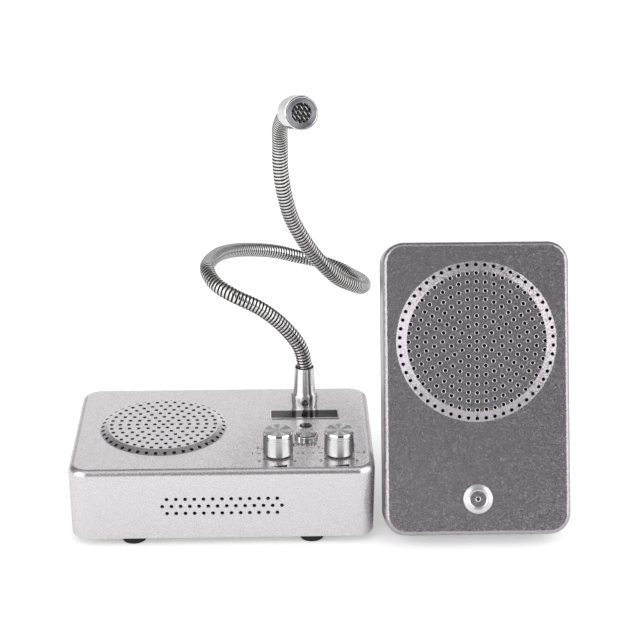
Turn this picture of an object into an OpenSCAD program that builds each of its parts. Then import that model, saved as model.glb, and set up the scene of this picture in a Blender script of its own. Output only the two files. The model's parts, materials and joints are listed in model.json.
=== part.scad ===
// Teller window intercom: a desk unit with a gooseneck microphone, and an outer unit
// on its fold-out leg. Millimetres, +Z up, +X to the right seen from the clerk's side,
// +Y away from the viewer. The origin is the middle of the desk unit's footprint.

/* [Desk housing] */
// Width of the desk housing, left to right
desk_w = 155; // [150:1:170]
// Depth of the desk housing, front to back
desk_d = 100; // [98:1:115]
// Height of the desk housing without its feet
desk_h = 38; // [36:0.5:50]
// Radius of the upright corners of the desk housing
desk_corner_r = 10; // [7:0.5:12]
// Radius of the rolled top edge of the desk housing
desk_edge_r = 2.5; // [2:0.1:4]
// How far each side of the desk housing draws in towards the bottom
desk_draft = 0.5; // [0:0.1:1]
// Wall of both housings
wall = 1.6; // [1.2:0.1:2]
// Thickness of the steel plate that closes the desk housing
plate_t = 1.5; // [1:0.1:2.5]

/* [Feet] */
// Height of the rubber feet
foot_h = 5; // [4:0.5:8]
// Diameter of the rubber feet
foot_d = 12.6; // [11:0.1:14]
// Distance between the feet, left to right
foot_span_x = 91; // [84:1:100]
// Distance between the feet, front to back
foot_span_y = 81; // [78:1:83]
// Diameter of the posts that the foot screws go into
post_d = 7; // [6:0.1:8]
// Thread diameter of the foot screws
foot_screw_d = 3; // [2.5:0.1:3.5]

/* [Desk grille] */
// Grille centre, to the right of the middle
desk_grille_x = -31.5; // [-34:0.5:-28]
// Grille centre, behind the middle
desk_grille_y = 1; // [-2:0.5:3]
// Outer radius of the raised grille
desk_grille_r = 33.2; // [32:0.1:35]
// Width of its sloped rim
desk_rim_w = 4.4; // [3:0.1:5]
// Distance between the rings of holes
desk_ring_pitch = 4.53; // [4.3:0.01:4.6]
// Diameter of the grille holes
desk_hole_d = 1.8; // [1.2:0.1:2]
// Rings of holes
desk_rings = 7; // [3:1:7]
// Height of both raised grilles
grille_rise = 1.7; // [1:0.1:2.5]

/* [Front vents] */
// Distance between vent holes along a row
vent_pitch = 4.64; // [4:0.01:5]
// Distance between the rows
vent_row_pitch = 4.03; // [3:0.01:5]
// Diameter of the vent holes
vent_d = 1.75; // [1.2:0.05:2.5]
// Holes in the longest row
vent_count = 14; // [6:1:14]

/* [Controls] */
// Middle of the control column, to the right of the middle
controls_x = 44.1; // [42:0.1:46]
// Distance between the two knobs
knob_span = 31.2; // [29:0.1:33]
// Knob axes, in front of the middle
knob_y = -31; // [-32:0.1:-30]
// Knob diameter at the bottom
knob_d = 15.5; // [15:0.1:17]
// Knob diameter at the top
knob_top_d = 15.1; // [14.6:0.1:15.5]
// Knob height
knob_h = 12; // [11:0.1:16]
// Running gap under a knob
knob_gap = 1; // [0.6:0.1:1.5]
// Diameter of the potentiometer shafts
shaft_d = 6; // [5.5:0.1:6.2]
// Outer diameter of the power button's bezel
bezel_d = 12.4; // [12:0.1:13]
// Height of the bezel above the housing
bezel_h = 2; // [1.5:0.1:3]
// Diameter of the power button
button_d = 10.2; // [9:0.1:10.4]
// Height of the power button above the housing
button_h = 2.9; // [2.4:0.1:4]
// Travel of the power button
button_travel = 1.5; // [1:0.1:1.8]
// Power button axis, in front of the middle
button_y = -12.1; // [-13:0.1:-11.5]
// Length of the oval indicator lens
lens_l = 6.2; // [5.5:0.1:7]
// Width of the oval indicator lens
lens_w = 4.8; // [4:0.1:5.2]
// Indicator lens, behind the middle
lens_y = 0.9; // [0:0.1:1.5]

/* [Badge] */
// Width of the badge with its rim
badge_w = 36.8; // [30:0.1:40]
// Depth of the badge with its rim
badge_d = 10.4; // [9:0.1:10.4]
// Badge centre, to the right of the middle
badge_x = 42.7; // [41:0.1:44]
// Badge centre, behind the middle
badge_y = 14.3; // [13.5:0.1:14.3]
// Width of the badge's silver rim
badge_rim_w = 0.7; // [0.5:0.1:1]

/* [Gooseneck] */
// Gooseneck foot, to the right of the middle
neck_x = 43; // [41:0.5:45]
// Gooseneck foot, behind the middle
neck_y = 27; // [27:0.1:29]
// Diameter over the ribs
neck_d = 8; // [7.6:0.1:8.2]
// Depth of the grooves between ribs
rib_depth = 0.4; // [0.2:0.1:0.5]
// Distance between ribs
rib_pitch = 2.25; // [2.25:0.05:3]
// Bore of the gooseneck
neck_bore_d = 4.8; // [4:0.1:5]
// Diameter of the ferrule's foot
ferrule_d = 14.2; // [13.6:0.1:14.2]
// Height of the ferrule's foot
ferrule_foot_h = 7.5; // [6.5:0.1:9]
// Height of the whole ferrule
ferrule_h = 22.5; // [21:0.5:24]
// Diameter of the ferrule where the cone starts
ferrule_cone_d = 11.6; // [11.2:0.1:12.2]
// Diameter of the ferrule at its mouth
ferrule_top_d = 10.3; // [10:0.1:10.8]
// Diameter of the threaded stud under the ferrule
stud_d = 9; // [8.5:0.1:9.2]

/* [Microphone head] */
// Diameter of the microphone head
head_d = 16.6; // [15:0.1:17]
// Length of the microphone head
head_l = 20; // [18:0.5:24]
// How far the head turns to the right
head_turn = 11; // [0:1:20]
// How far the head tilts up
head_tilt = 15; // [0:1:25]
// Diameter of the wire mesh disc
mesh_d = 9.6; // [8:0.1:11]

/* [Outer unit] */
// Width of the outer unit
outer_w = 94; // [92:1:110]
// Height of the outer unit, along its face
outer_h = 148; // [146:1:165]
// Thickness of the outer unit without its raised grille
outer_t = 26; // [26:0.5:34]
// Corner radius of the outer unit
outer_corner_r = 10.7; // [8:0.1:14]
// Radius of its front edge
outer_edge_r = 2.3; // [2:0.1:4]
// How far the outer unit leans back
lean = 22.5; // [18:0.5:27]
// Middle of the outer unit, to the right of the desk unit's middle
outer_x = 129; // [127:1:150]
// Back bottom edge of the outer unit, in front of the desk unit's middle
outer_y = -35.5; // [-45:0.5:-30]
// Thickness of the back cover
cover_t = 3; // [2.5:0.1:4]
// Grille centre above the bottom edge
outer_grille_y = 97.7; // [95:0.1:99]
// Outer radius of the raised grille
outer_grille_r = 40.5; // [38:0.1:41]
// Width of its sloped rim
outer_rim_w = 5.3; // [4:0.1:6]
// Distance between the rings of holes
outer_ring_pitch = 4.31; // [4:0.01:4.32]
// Diameter of the grille holes
outer_hole_d = 1.8; // [1.2:0.1:2]
// Rings of holes
outer_rings = 9; // [3:1:9]
// Microphone bezel above the bottom edge
outer_mic_y = 18.3; // [17:0.1:22]
// Diameter of the microphone bezel
outer_mic_d = 14.8; // [13:0.1:16]

/* [Fold-out leg] */
// Hinge of the leg above the bottom edge, along the back
leg_hinge_y = 95; // [90:1:100]
// How far the leg opens from the back
leg_open = 35; // [30:1:40]
// Width of the leg
leg_w = 30; // [24:1:40]
// Thickness of the leg
leg_t = 2.4; // [2:0.1:3]
// Diameter of the leg's hinge pin
leg_pin_d = 2.4; // [2:0.1:2.8]

/* [Sockets] */
// Diameter of the audio sockets' openings
jack_bore_d = 3.6; // [3.5:0.1:4]
// Diameter of the power inlet's opening
inlet_bore_d = 5.6; // [5.4:0.1:6.5]
// Distance between the sockets along the back
socket_pitch = 17; // [15:0.5:18]

/* [Clearances] */
// Clearance round a shaft or pin that turns
shaft_fit = 0.08; // [0.05:0.01:0.1]
// Clearance beside other pieces that slide or turn
run_fit = 0.2; // [0.15:0.05:0.3]
// Clearance round a piece that is set in place
seat_fit = 0.15; // [0.1:0.05:0.2]
// Gap between the neck's ball joints and their cups
ball_fit = 0.3; // [0.25:0.05:0.35]

/* [Hidden] */
$fn = 24;

// Small allowance that makes cutters pass right through
past = 1;
// Segments of round corners inside hulls
hull_fn = 32;

// Heights in the desk unit
base_z = foot_h;
top_z = foot_h + desk_h;
under_top = top_z - wall;
plate_top = base_z + plate_t;
// The narrowest half width and half depth inside the drafted wall
desk_in_x = desk_w / 2 - wall - desk_draft;
desk_in_y = desk_d / 2 - wall - desk_draft;

// Middle row of the front vents above the housing's bottom
vent_rise = 18.2;

// Speakers: flange, wall, ears and their studs
flange_t = 2;
basket_wall = 0.8;
ear_r = 4;
ear_reach = 5;
ear_turn = 42;
stud_pin_d = 3;
clip_d = 8;
clip_t = 0.8;
desk_speaker_r = desk_grille_r - 1.2;
desk_speaker_depth = 14;
desk_magnet_r = 18;
desk_magnet_t = 8;
outer_speaker_r = outer_grille_r - 2;
outer_speaker_depth = 11;
outer_magnet_r = 19;
outer_magnet_t = 7;
cone_t = 0.5;
cloth_t = 0.3;

// Boards
board_t = 1.6;
board_lift = 5;
board_top = plate_top + board_lift + board_t;
board_left = -12;
board_right = 70;
board_front = -34;
board_post_d = 5;
board_screw_d = 2.5;
board_posts = [[-6, -28], [64, -28], [-6, 30], [64, 24]];
heatsink_at = [54, 0];

// Potentiometers and the control board, which hang from the top
pot_body = 12;
pot_body_h = 6.5;
bushing_d = 7.6;
pot_nut_af = 10;
pot_nut_h = 2;
control_top = under_top - pot_body_h;
knob_recess_d = 12.4;
knob_recess_h = 3;
knob_roof = 2.2;
knob_x = [controls_x - knob_span / 2, controls_x + knob_span / 2];
control_front = knob_y - pot_body / 2 + 1;
control_back = lens_y + lens_w / 2 + 2;

// Power button
button_x = 43.2;
bezel_neck_d = button_d + 2 * run_fit + 0.9;
switch_h = 4;
switch_w = 9;
stem_d = 4;
stem_h = 4.2;

// Badge
badge_sink = 0.5;
badge_proud = 0.45;

// Sockets on the back of the desk unit
socket_nose_d = 8;
socket_axis_z = board_top + 4.6;
socket_body = [12, 11, 9];
socket_x = foot_span_x / 2 - post_d / 2 - 1 - socket_body[0] / 2 - socket_pitch;
inlet_x = socket_x - socket_pitch;
jack_x = [socket_x, socket_x + socket_pitch];

// Gooseneck: the route's points are measured from the middle of the ferrule's foot
neck_foot = [neck_x, neck_y, top_z];
ferrule_grip = 5.5;
head_foot = [-5.5, -50, 177.5];
head_sleeve = 4;
head_dir = [sin(head_turn) * cos(head_tilt), -cos(head_turn) * cos(head_tilt), sin(head_tilt)];
ROUTE = concat(
    [[0, 0, ferrule_h - ferrule_grip], [0, 0, ferrule_h + 2],
     [-3, -2, 36], [-12, -5, 49], [-23, -7, 59], [-36, -7, 66], [-46, 0, 70], [-51, 13, 73],
     [-50, 29, 72], [-45, 46, 70], [-37, 62, 66], [-26, 76, 61], [-14, 86, 56], [-2, 91, 51],
     [10, 91, 48], [21, 85, 46], [29, 75, 45], [33, 63, 47], [34, 49, 50], [32, 35, 54],
     [27, 23, 60], [19, 14, 67], [12, 7, 76], [5, 2, 86], [-1, -3, 97], [-6, -7, 108],
     [-9, -11, 119], [-11, -14, 130], [-12, -16, 141], [-12, -19, 152], [-12, -25, 162],
     [-10, -33, 170]],
    [for (back = [-8, -2, head_sleeve]) head_foot + back * head_dir]);
// The route points at which the neck bends in its ball joints
BENDS = [4, 8, 12, 16, 20, 24, 28];
route_steps = 12;
joint_gap = 1.2;
ball_r = 2.7;
cup_r = (ball_r + ball_fit) / cos(180 / 8);
ball_bore_r = 1.2;
straight_run = 3.4;
bore_step = 5;
crest_r = neck_d / 2;
root_r = crest_r - rib_depth;
bore_r = neck_bore_d / 2;
ring_sides = 8;

// Microphone head, from its back
head_wall = 1.2;
collar_l = 5;
collar_d = 15;
mesh_back = 3.8;
mesh_t = 0.8;
bezel_recess = 0.7;
mesh_hole_d = 1.1;
mesh_pitch = 1.5;
capsule_l = 6;

// Outer unit
outer_in = outer_t - wall;
cover_post = [outer_w / 2 - 7.6, 8.2];
cover_post_d = 7;
cover_screw_d = 2.6;
outer_board_lift = 5;
outer_board_top = cover_t + outer_board_lift + board_t;
outer_jack = [19 - outer_w / 2, 24];
outer_board_x = [11 - outer_w / 2, 30];
outer_pins = [[24, 14], [24, 34]];
mic_neck_d = 11.4;
mic_capsule_d = 9.7;
mic_front_t = 1;
mic_proud = 2;
mic_dish_r = 4.15;

// Fold-out leg
hinge_off = 3.6;
hinge_ear_w = 3;
hinge_barrel_d = 5.4;
heel_gap = 0.5;
leg_turn = leg_open - lean;
hinge_z = leg_hinge_y * cos(lean) - hinge_off * sin(lean);
hinge_at = [outer_x, outer_y + leg_hinge_y * sin(lean) + hinge_off * cos(lean), hinge_z];
leg_l = hinge_z / cos(leg_turn);
heel_l = (hinge_off - leg_t / 2 * cos(leg_open)) / sin(leg_open) - heel_gap;
leg_foot_t = 5;
leg_foot_base = 2;
leg_foot_h = 6;

// ---------------------------------------------------------------- shared shapes

// A flat slab with upright round corners
module rounded_slab(w, d, h, r) {
    linear_extrude(h) {
        square([w - 2 * r, d], center = true);
        square([w, d - 2 * r], center = true);
        for (sx = [-1, 1], sy = [-1, 1])
            translate([sx * (w / 2 - r), sy * (d / 2 - r)]) circle(r);
    }
}

// A box with upright round corners, a rolled top edge and drafted sides
module rolled_box(w, d, h, r, edge, draft = 0, below = 0) {
    hull()
        for (sx = [-1, 1], sy = [-1, 1])
            translate([sx * (w / 2 - r), sy * (d / 2 - r), 0])
                rotate_extrude($fn = hull_fn)
                    polygon(concat(
                        [[0, -below], [r - draft, -below], [r - draft, 0]],
                        [for (a = [0 : 22.5 : 90]) [r - edge + edge * cos(a), h - edge + edge * sin(a)]],
                        [[0, h]]));
}

// Holes on rings round a middle one, six more on each ring
module hole_rings(pitch, rings, d, h) {
    cylinder(d = d, h = h, $fn = 14);
    for (n = [1 : rings], k = [0 : 6 * n - 1])
        rotate(60 * k / n) translate([n * pitch, 0, 0]) cylinder(d = d, h = h, $fn = 14);
}

// Four copies near the diagonals
module on_diagonals(r, turn = ear_turn) {
    for (a = [turn, 180 - turn, 180 + turn, -turn]) rotate(a) translate([r, 0, 0]) children();
}

// Speaker basket: flange up at z = 0, open in front, with ears for the housing's studs
module speaker_basket(r, depth, back_r) {
    difference() {
        union() {
            translate([0, 0, -flange_t]) cylinder(r = r, h = flange_t, $fn = 48);
            translate([0, 0, -flange_t]) on_diagonals(r + ear_reach) cylinder(r = ear_r, h = flange_t);
            translate([0, 0, -flange_t]) on_diagonals(r)
                translate([-2, -ear_r, 0]) cube([ear_reach + 2, 2 * ear_r, flange_t]);
            translate([0, 0, -depth]) cylinder(r1 = back_r, r2 = r - 2, h = depth - flange_t, $fn = 48);
        }
        translate([0, 0, -1]) cylinder(r = r - 2.5, h = 2, $fn = 48);
        translate([0, 0, basket_wall - depth])
            cylinder(r1 = back_r - basket_wall, r2 = r - 3.5, h = depth - basket_wall - 1, $fn = 48);
        translate([0, 0, -depth - past]) cylinder(r = 7, h = 4);
        on_diagonals(r + ear_reach)
            translate([0, 0, -flange_t - past]) cylinder(d = stud_pin_d + 2 * seat_fit, h = flange_t + 2 * past);
        rotate(45) on_diagonals((back_r + r) / 2, 45)
            translate([0, 0, -depth - past]) cylinder(r = (r - back_r) / 4, h = depth);
    }
}

// Speaker magnet between its two steel plates
module speaker_magnet(depth, r, t) {
    translate([0, 0, -depth - t]) {
        cylinder(r = r - 1.5, h = 1.5, $fn = 48);
        translate([0, 0, 1.5]) cylinder(r = r, h = t - 3, $fn = 48);
        translate([0, 0, t - 1.5]) cylinder(r = r - 1.5, h = 1.5, $fn = 48);
    }
}

// Paper cone with its surround and dust cap, resting on the basket's inner step
module speaker_cone(r, deep) {
    rotate_extrude($fn = 48)
        polygon([[0, -deep + 2], [6, -deep], [r - 7, -1], [r - 5, -0.4], [r - 2.7, -0.4], [r - 2.7, -1],
                 [r - 5, -1], [r - 7, -1 - cone_t - 0.1], [6, -deep - cone_t], [0, -deep + 2 - cone_t]]);
}

// Push-on clips that hold the speaker's ears on the studs
module speaker_clips(r) {
    on_diagonals(r + ear_reach)
        translate([0, 0, -flange_t - clip_t])
            difference() {
                cylinder(d = clip_d, h = clip_t);
                translate([0, 0, -past]) cylinder(d = stud_pin_d + seat_fit, h = clip_t + 2 * past);
            }
}

// Studs for the speaker's ears, down from the front's inner face
module speaker_studs(r) {
    on_diagonals(r + ear_reach)
        translate([0, 0, -flange_t - clip_t - 1.5])
            cylinder(d = stud_pin_d, h = flange_t + clip_t + 1.5 + wall / 2);
}

// The sheet's raised round grille, from the face at z = 0
module grille_dome(r, rim) {
    translate([0, 0, -wall / 2]) cylinder(r = r, h = wall / 2, $fn = 72);
    cylinder(r1 = r, r2 = r - rim, h = grille_rise, $fn = 72);
}

// The hollow under it, from the inner face at z = 0
module grille_hollow(r, rim) {
    translate([0, 0, -past]) cylinder(r = r - wall, h = past, $fn = 72);
    cylinder(r1 = r - wall, r2 = r - rim - wall / 3, h = grille_rise, $fn = 72);
}

// ---------------------------------------------------------------- desk housing

module at_desk_grille(z) {
    translate([desk_grille_x, desk_grille_y, z]) children();
}

module at_feet() {
    for (sx = [-1, 1], sy = [-1, 1])
        translate([sx * foot_span_x / 2, sy * foot_span_y / 2, 0]) children();
}

module badge_place() {
    translate([badge_x, badge_y, top_z - badge_sink]) children();
}

module lens_outline(grow) {
    translate([button_x, lens_y]) {
        square([lens_l - lens_w, lens_w + 2 * grow], center = true);
        for (s = [-1, 1]) translate([s * (lens_l - lens_w) / 2, 0]) circle(d = lens_w + 2 * grow);
    }
}

module front_vents() {
    for (row = [-1 : 1]) {
        holes = row == 0 ? vent_count : vent_count - 1;
        for (i = [0 : holes - 1])
            translate([(i - (holes - 1) / 2) * vent_pitch, -desk_d / 2 - past,
                       foot_h + vent_rise + row * vent_row_pitch])
                rotate([-90, 0, 0]) cylinder(d = vent_d, h = wall + desk_draft + 2 * past, $fn = 14);
    }
}
module desk_housing() color([0.80, 0.78, 0.79]) {
    difference() {
        union() {
            difference() {
                translate([0, 0, base_z])
                    rolled_box(desk_w, desk_d, desk_h, desk_corner_r, desk_edge_r, desk_draft);
                translate([0, 0, base_z])
                    rolled_box(desk_w - 2 * wall, desk_d - 2 * wall, desk_h - wall, desk_corner_r - wall,
                               max(desk_edge_r - wall, 0.4), desk_draft, past);
            }
            at_desk_grille(top_z) grille_dome(desk_grille_r, desk_rim_w);
            at_desk_grille(under_top) speaker_studs(desk_speaker_r);
            at_feet() translate([0, 0, plate_top]) cylinder(d = post_d, h = under_top - plate_top + wall / 2);
        }
        at_desk_grille(under_top) grille_hollow(desk_grille_r, desk_rim_w);
        at_desk_grille(under_top - past)
            hole_rings(desk_ring_pitch, desk_rings, desk_hole_d, wall + grille_rise + 2 * past);
        at_feet() translate([0, 0, plate_top - past]) cylinder(d = foot_screw_d + 0.1, h = 12 + past);
        front_vents();
        for (x = knob_x) translate([x, knob_y, under_top - past])
            cylinder(d = bushing_d + 2 * seat_fit, h = wall + 2 * past);
        translate([button_x, button_y, under_top - past])
            cylinder(d = bezel_neck_d + 2 * seat_fit, h = wall + 2 * past);
        translate([0, 0, under_top - past]) linear_extrude(wall + 2 * past) lens_outline(seat_fit);
        badge_place() rounded_slab(badge_w + 2 * seat_fit, badge_d + 2 * seat_fit, past + badge_sink, 1);
        translate([neck_x, neck_y, under_top - past])
            cylinder(d = stud_d + 2 * seat_fit, h = wall + 2 * past);
        for (x = [inlet_x, jack_x[0], jack_x[1]])
            translate([x, desk_in_y - past, socket_axis_z])
                rotate([-90, 0, 0]) cylinder(d = socket_nose_d + 2 * seat_fit, h = wall + desk_draft + 2 * past);
    }
}

module desk_base_plate() color([0.55, 0.55, 0.57]) {
    difference() {
        union() {
            translate([0, 0, base_z])
                rounded_slab(2 * (desk_in_x - seat_fit), 2 * (desk_in_y - seat_fit), plate_t,
                             desk_corner_r - wall - desk_draft);
            for (p = board_posts) translate([p[0], p[1], plate_top - plate_t / 2])
                cylinder(d = board_post_d, h = board_lift + plate_t / 2);
        }
        at_feet() translate([0, 0, base_z - past]) cylinder(d = foot_screw_d + 0.4, h = plate_t + 2 * past);
        for (p = board_posts) translate([p[0], p[1], plate_top])
            cylinder(d = board_screw_d + 0.1, h = board_lift + past);
    }
}

module desk_feet() color([0.07, 0.07, 0.07]) {
    at_feet() difference() {
        union() {
            cylinder(d1 = foot_d - 1.2, d2 = foot_d, h = 1);
            translate([0, 0, 1]) cylinder(d = foot_d, h = foot_h - 1);
        }
        translate([0, 0, -past]) cylinder(d = 7, h = foot_h / 2 + past);
        translate([0, 0, -past]) cylinder(d = foot_screw_d + 0.4, h = foot_h + 2 * past);
    }
}

module desk_base_screws() color([0.6, 0.6, 0.62]) {
    at_feet() translate([0, 0, foot_h / 2 - 1.8]) difference() {
        union() {
            cylinder(d = 6, h = 1.8);
            cylinder(d = foot_screw_d, h = 1.8 + foot_h / 2 + plate_t + 8);
        }
        translate([0, 0, -past]) cylinder(d = 2.6, h = 1 + past, $fn = 6);
    }
}

// ---------------------------------------------------------------- inner speaker

module inner_speaker_basket() color([0.25, 0.25, 0.27])
    at_desk_grille(under_top) speaker_basket(desk_speaker_r, desk_speaker_depth, desk_magnet_r - 1);

module inner_speaker_magnet() color([0.18, 0.18, 0.2])
    at_desk_grille(under_top) speaker_magnet(desk_speaker_depth, desk_magnet_r, desk_magnet_t);

module inner_speaker_cone() color([0.1, 0.1, 0.1])
    at_desk_grille(under_top) speaker_cone(desk_speaker_r, 8.5);

module inner_speaker_clips() color([0.7, 0.7, 0.72])
    at_desk_grille(under_top) speaker_clips(desk_speaker_r);

module inner_grille_cloth() color([0.08, 0.08, 0.08])
    at_desk_grille(under_top + grille_rise - cloth_t)
        cylinder(r = desk_grille_r - desk_rim_w - wall / 3 - 0.3, h = cloth_t, $fn = 48);

// ---------------------------------------------------------------- boards

module main_circuit_board() color([0.1, 0.4, 0.2]) {
    difference() {
        union() {
            translate([board_left, board_front, plate_top + board_lift])
                cube([board_right - board_left, desk_in_y - 1.5 - board_front, board_t]);
            // Three tall capacitors and the big chips
            for (p = [[6, -18], [18, -18], [30, -18]]) translate([p[0], p[1], board_top - board_t / 2])
                cylinder(d = 8, h = 11);
            translate([2, -4, board_top - board_t / 2]) cube([14, 9, 2.5]);
            translate([26, 2, board_top - board_t / 2]) cube([9, 9, 2.5]);
        }
        for (p = board_posts) translate([p[0], p[1], plate_top])
            cylinder(d = board_screw_d + 0.4, h = board_lift + board_t + past);
        at_feet() translate([0, 0, plate_top]) cylinder(d = post_d + 1, h = board_lift + board_t + past);
    }
}

module amplifier_heatsink() color([0.6, 0.6, 0.63]) {
    translate([heatsink_at[0], heatsink_at[1], board_top]) {
        translate([-12, -8, 0]) cube([24, 16, 3]);
        for (i = [0 : 5]) translate([-12 + i * 4.5, -8, 2]) cube([1.5, 16, 9]);
    }
}

module board_screws() color([0.75, 0.75, 0.77]) {
    for (p = board_posts) translate([p[0], p[1], 0]) difference() {
        union() {
            translate([0, 0, board_top]) cylinder(d = 5, h = 1.6);
            translate([0, 0, plate_top + 0.4]) cylinder(d = board_screw_d, h = board_top - plate_top + 0.6);
        }
        translate([0, 0, board_top + 0.6]) cylinder(d = 1.8, h = 1 + past, $fn = 6);
    }
}

module control_board() color([0.1, 0.35, 0.2]) {
    translate([knob_x[0] - pot_body / 2 - 1, control_front, control_top - board_t])
        cube([knob_span + pot_body + 2, control_back - control_front, board_t]);
    translate([button_x, lens_y, control_top - board_t / 2]) {
        cylinder(d = 3.8, h = 1.8);
        cylinder(d = 3, h = pot_body_h + board_t / 2 - 0.4);
    }
}

// ---------------------------------------------------------------- volume controls

module volume_pot(x) {
    translate([x, knob_y, 0]) difference() {
        union() {
            translate([-pot_body / 2, -pot_body / 2, control_top]) cube([pot_body, pot_body, pot_body_h]);
            translate([0, 0, under_top - past])
                cylinder(d = bushing_d, h = past + wall + pot_nut_h + 0.4);
        }
        translate([0, 0, under_top - 4.5])
            cylinder(d = shaft_d + 2 * shaft_fit, h = 4.5 + wall + pot_nut_h + past);
    }
}

module inner_volume_pot() color([0.7, 0.7, 0.72]) volume_pot(knob_x[0]);
module outer_volume_pot() color([0.7, 0.7, 0.72]) volume_pot(knob_x[1]);

module pot_nuts() color([0.75, 0.75, 0.78]) {
    for (x = knob_x) translate([x, knob_y, top_z]) difference() {
        cylinder(d = pot_nut_af / cos(30), h = pot_nut_h, $fn = 6);
        translate([0, 0, -past]) cylinder(d = bushing_d + 2 * seat_fit, h = pot_nut_h + 2 * past);
    }
}

// Shaft section with its flat
module shaft_outline(grow, flat) {
    intersection() {
        circle(d = shaft_d + 2 * grow);
        translate([-shaft_d, -shaft_d, 0]) square([2 * shaft_d, shaft_d + flat]);
    }
}

module pot_shaft(x) {
    knob_top = top_z + knob_gap + knob_h;
    translate([x, knob_y, under_top - 4.2]) {
        cylinder(d = shaft_d, h = wall + 4.2 + pot_nut_h + 2);
        linear_extrude(knob_top - knob_roof - 0.2 - (under_top - 4.2)) shaft_outline(0, shaft_d / 2 - 1.5);
    }
}

module inner_pot_shaft() color([0.8, 0.8, 0.82]) pot_shaft(knob_x[0]);
module outer_pot_shaft() color([0.8, 0.8, 0.82]) pot_shaft(knob_x[1]);

module volume_knob(x) {
    translate([x, knob_y, top_z + knob_gap]) difference() {
        union() {
            cylinder(d1 = knob_d, d2 = knob_top_d, h = knob_h - 0.7, $fn = 72);
            translate([0, 0, knob_h - 0.7]) cylinder(d1 = knob_top_d, d2 = knob_top_d - 1.4, h = 0.7, $fn = 72);
        }
        translate([0, 0, -past]) cylinder(d = knob_recess_d, h = knob_recess_h + past);
        linear_extrude(knob_h - knob_roof) shaft_outline(0.1, shaft_d / 2 - 1.5);
        for (z = [1.6, 2.9]) translate([0, 0, knob_h - z])
            rotate_extrude($fn = 72) translate([knob_top_d / 2 - 0.4, -0.3]) square([past, 0.6]);
    }
}

module inner_volume_knob() color([0.86, 0.86, 0.88]) volume_knob(knob_x[0]);
module outer_volume_knob() color([0.86, 0.86, 0.88]) volume_knob(knob_x[1]);

// ---------------------------------------------------------------- power button

module power_button_bezel() color([0.85, 0.85, 0.87]) {
    inner = button_d / 2 + run_fit;
    translate([button_x, button_y, top_z]) rotate_extrude($fn = 48) polygon(concat(
        [[inner, -wall - 0.8], [bezel_neck_d / 2, -wall - 0.8], [bezel_neck_d / 2, 0], [bezel_d / 2, 0]],
        [for (a = [0 : 30 : 90])
            [bezel_d / 2 - 0.5 + 0.5 * cos(a), bezel_h - 0.5 + 0.5 * sin(a)]],
        [[inner + 0.2, bezel_h], [inner, bezel_h - 0.2]]));
}

module power_button_cap() color([0.83, 0.83, 0.85]) {
    translate([button_x, button_y, 0]) {
        translate([0, 0, under_top]) cylinder(d = button_d, h = wall + button_h - 0.6, $fn = 48);
        translate([0, 0, top_z + button_h - 0.6])
            cylinder(d1 = button_d, d2 = button_d - 2.4, h = 0.6, $fn = 48);
        translate([0, 0, under_top - stem_h]) cylinder(d = stem_d, h = stem_h + 1);
    }
}

module power_switch_body() color([0.12, 0.12, 0.13]) {
    translate([button_x, button_y, control_top]) difference() {
        translate([-switch_w / 2, -switch_w / 2, 0]) cube([switch_w, switch_w, switch_h]);
        translate([0, 0, 0.2]) cylinder(d = stem_d + 2 * run_fit, h = switch_h);
    }
}

module indicator_lens() color([0.12, 0.1, 0.1])
    translate([0, 0, under_top]) linear_extrude(wall + 0.5) lens_outline(0);

// ---------------------------------------------------------------- badge

module badge_rim() color([0.85, 0.85, 0.87]) {
    badge_place() difference() {
        rounded_slab(badge_w, badge_d, badge_sink + badge_proud, 1);
        translate([0, 0, -past])
            rounded_slab(badge_w - 2 * badge_rim_w, badge_d - 2 * badge_rim_w,
                         badge_sink + badge_proud + 2 * past, 0.5);
    }
}

module badge_plate() color([0.03, 0.03, 0.03])
    badge_place() rounded_slab(badge_w - 2 * badge_rim_w - 0.1, badge_d - 2 * badge_rim_w - 0.1,
                               badge_sink + badge_proud - 0.15, 0.45);

// ---------------------------------------------------------------- sockets

// A socket on the board, its nose through the back wall
module socket(x, bore_d) {
    translate([x, desk_in_y - 0.2, socket_axis_z]) difference() {
        union() {
            translate([-socket_body[0] / 2, -socket_body[1], board_top - socket_axis_z])
                cube(socket_body);
            rotate([-90, 0, 0]) translate([0, 0, -past])
                cylinder(d = socket_nose_d, h = past + 0.2 + desk_draft + wall + 0.5);
        }
        rotate([-90, 0, 0]) translate([0, 0, -8]) cylinder(d = bore_d, h = 8 + wall + desk_draft + 2 * past);
    }
}

module power_inlet() color([0.08, 0.08, 0.08]) {
    socket(inlet_x, inlet_bore_d);
    translate([inlet_x, desk_in_y - 0.2 - 8.5, socket_axis_z])
        rotate([-90, 0, 0]) cylinder(d = 2, h = 8.5, $fn = 16);
}

module audio_sockets() color([0.1, 0.1, 0.1])
    for (x = jack_x) socket(x, jack_bore_d);

// ---------------------------------------------------------------- ferrule

module gooseneck_stud() color([0.75, 0.75, 0.78]) {
    translate(neck_foot) translate([0, 0, -wall - 6.5]) difference() {
        cylinder(d = stud_d, h = wall + 6.5 + ferrule_foot_h + 1);
        translate([0, 0, -past]) cylinder(d = 5, h = wall + 6.5 + ferrule_foot_h + 1 + 2 * past);
    }
}

module gooseneck_nut() color([0.75, 0.75, 0.78]) {
    translate([neck_x, neck_y, under_top - 4]) difference() {
        cylinder(d = 13 / cos(30), h = 4, $fn = 6);
        translate([0, 0, -past]) cylinder(d = stud_d + 2 * seat_fit, h = 4 + 2 * past);
    }
}

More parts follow.
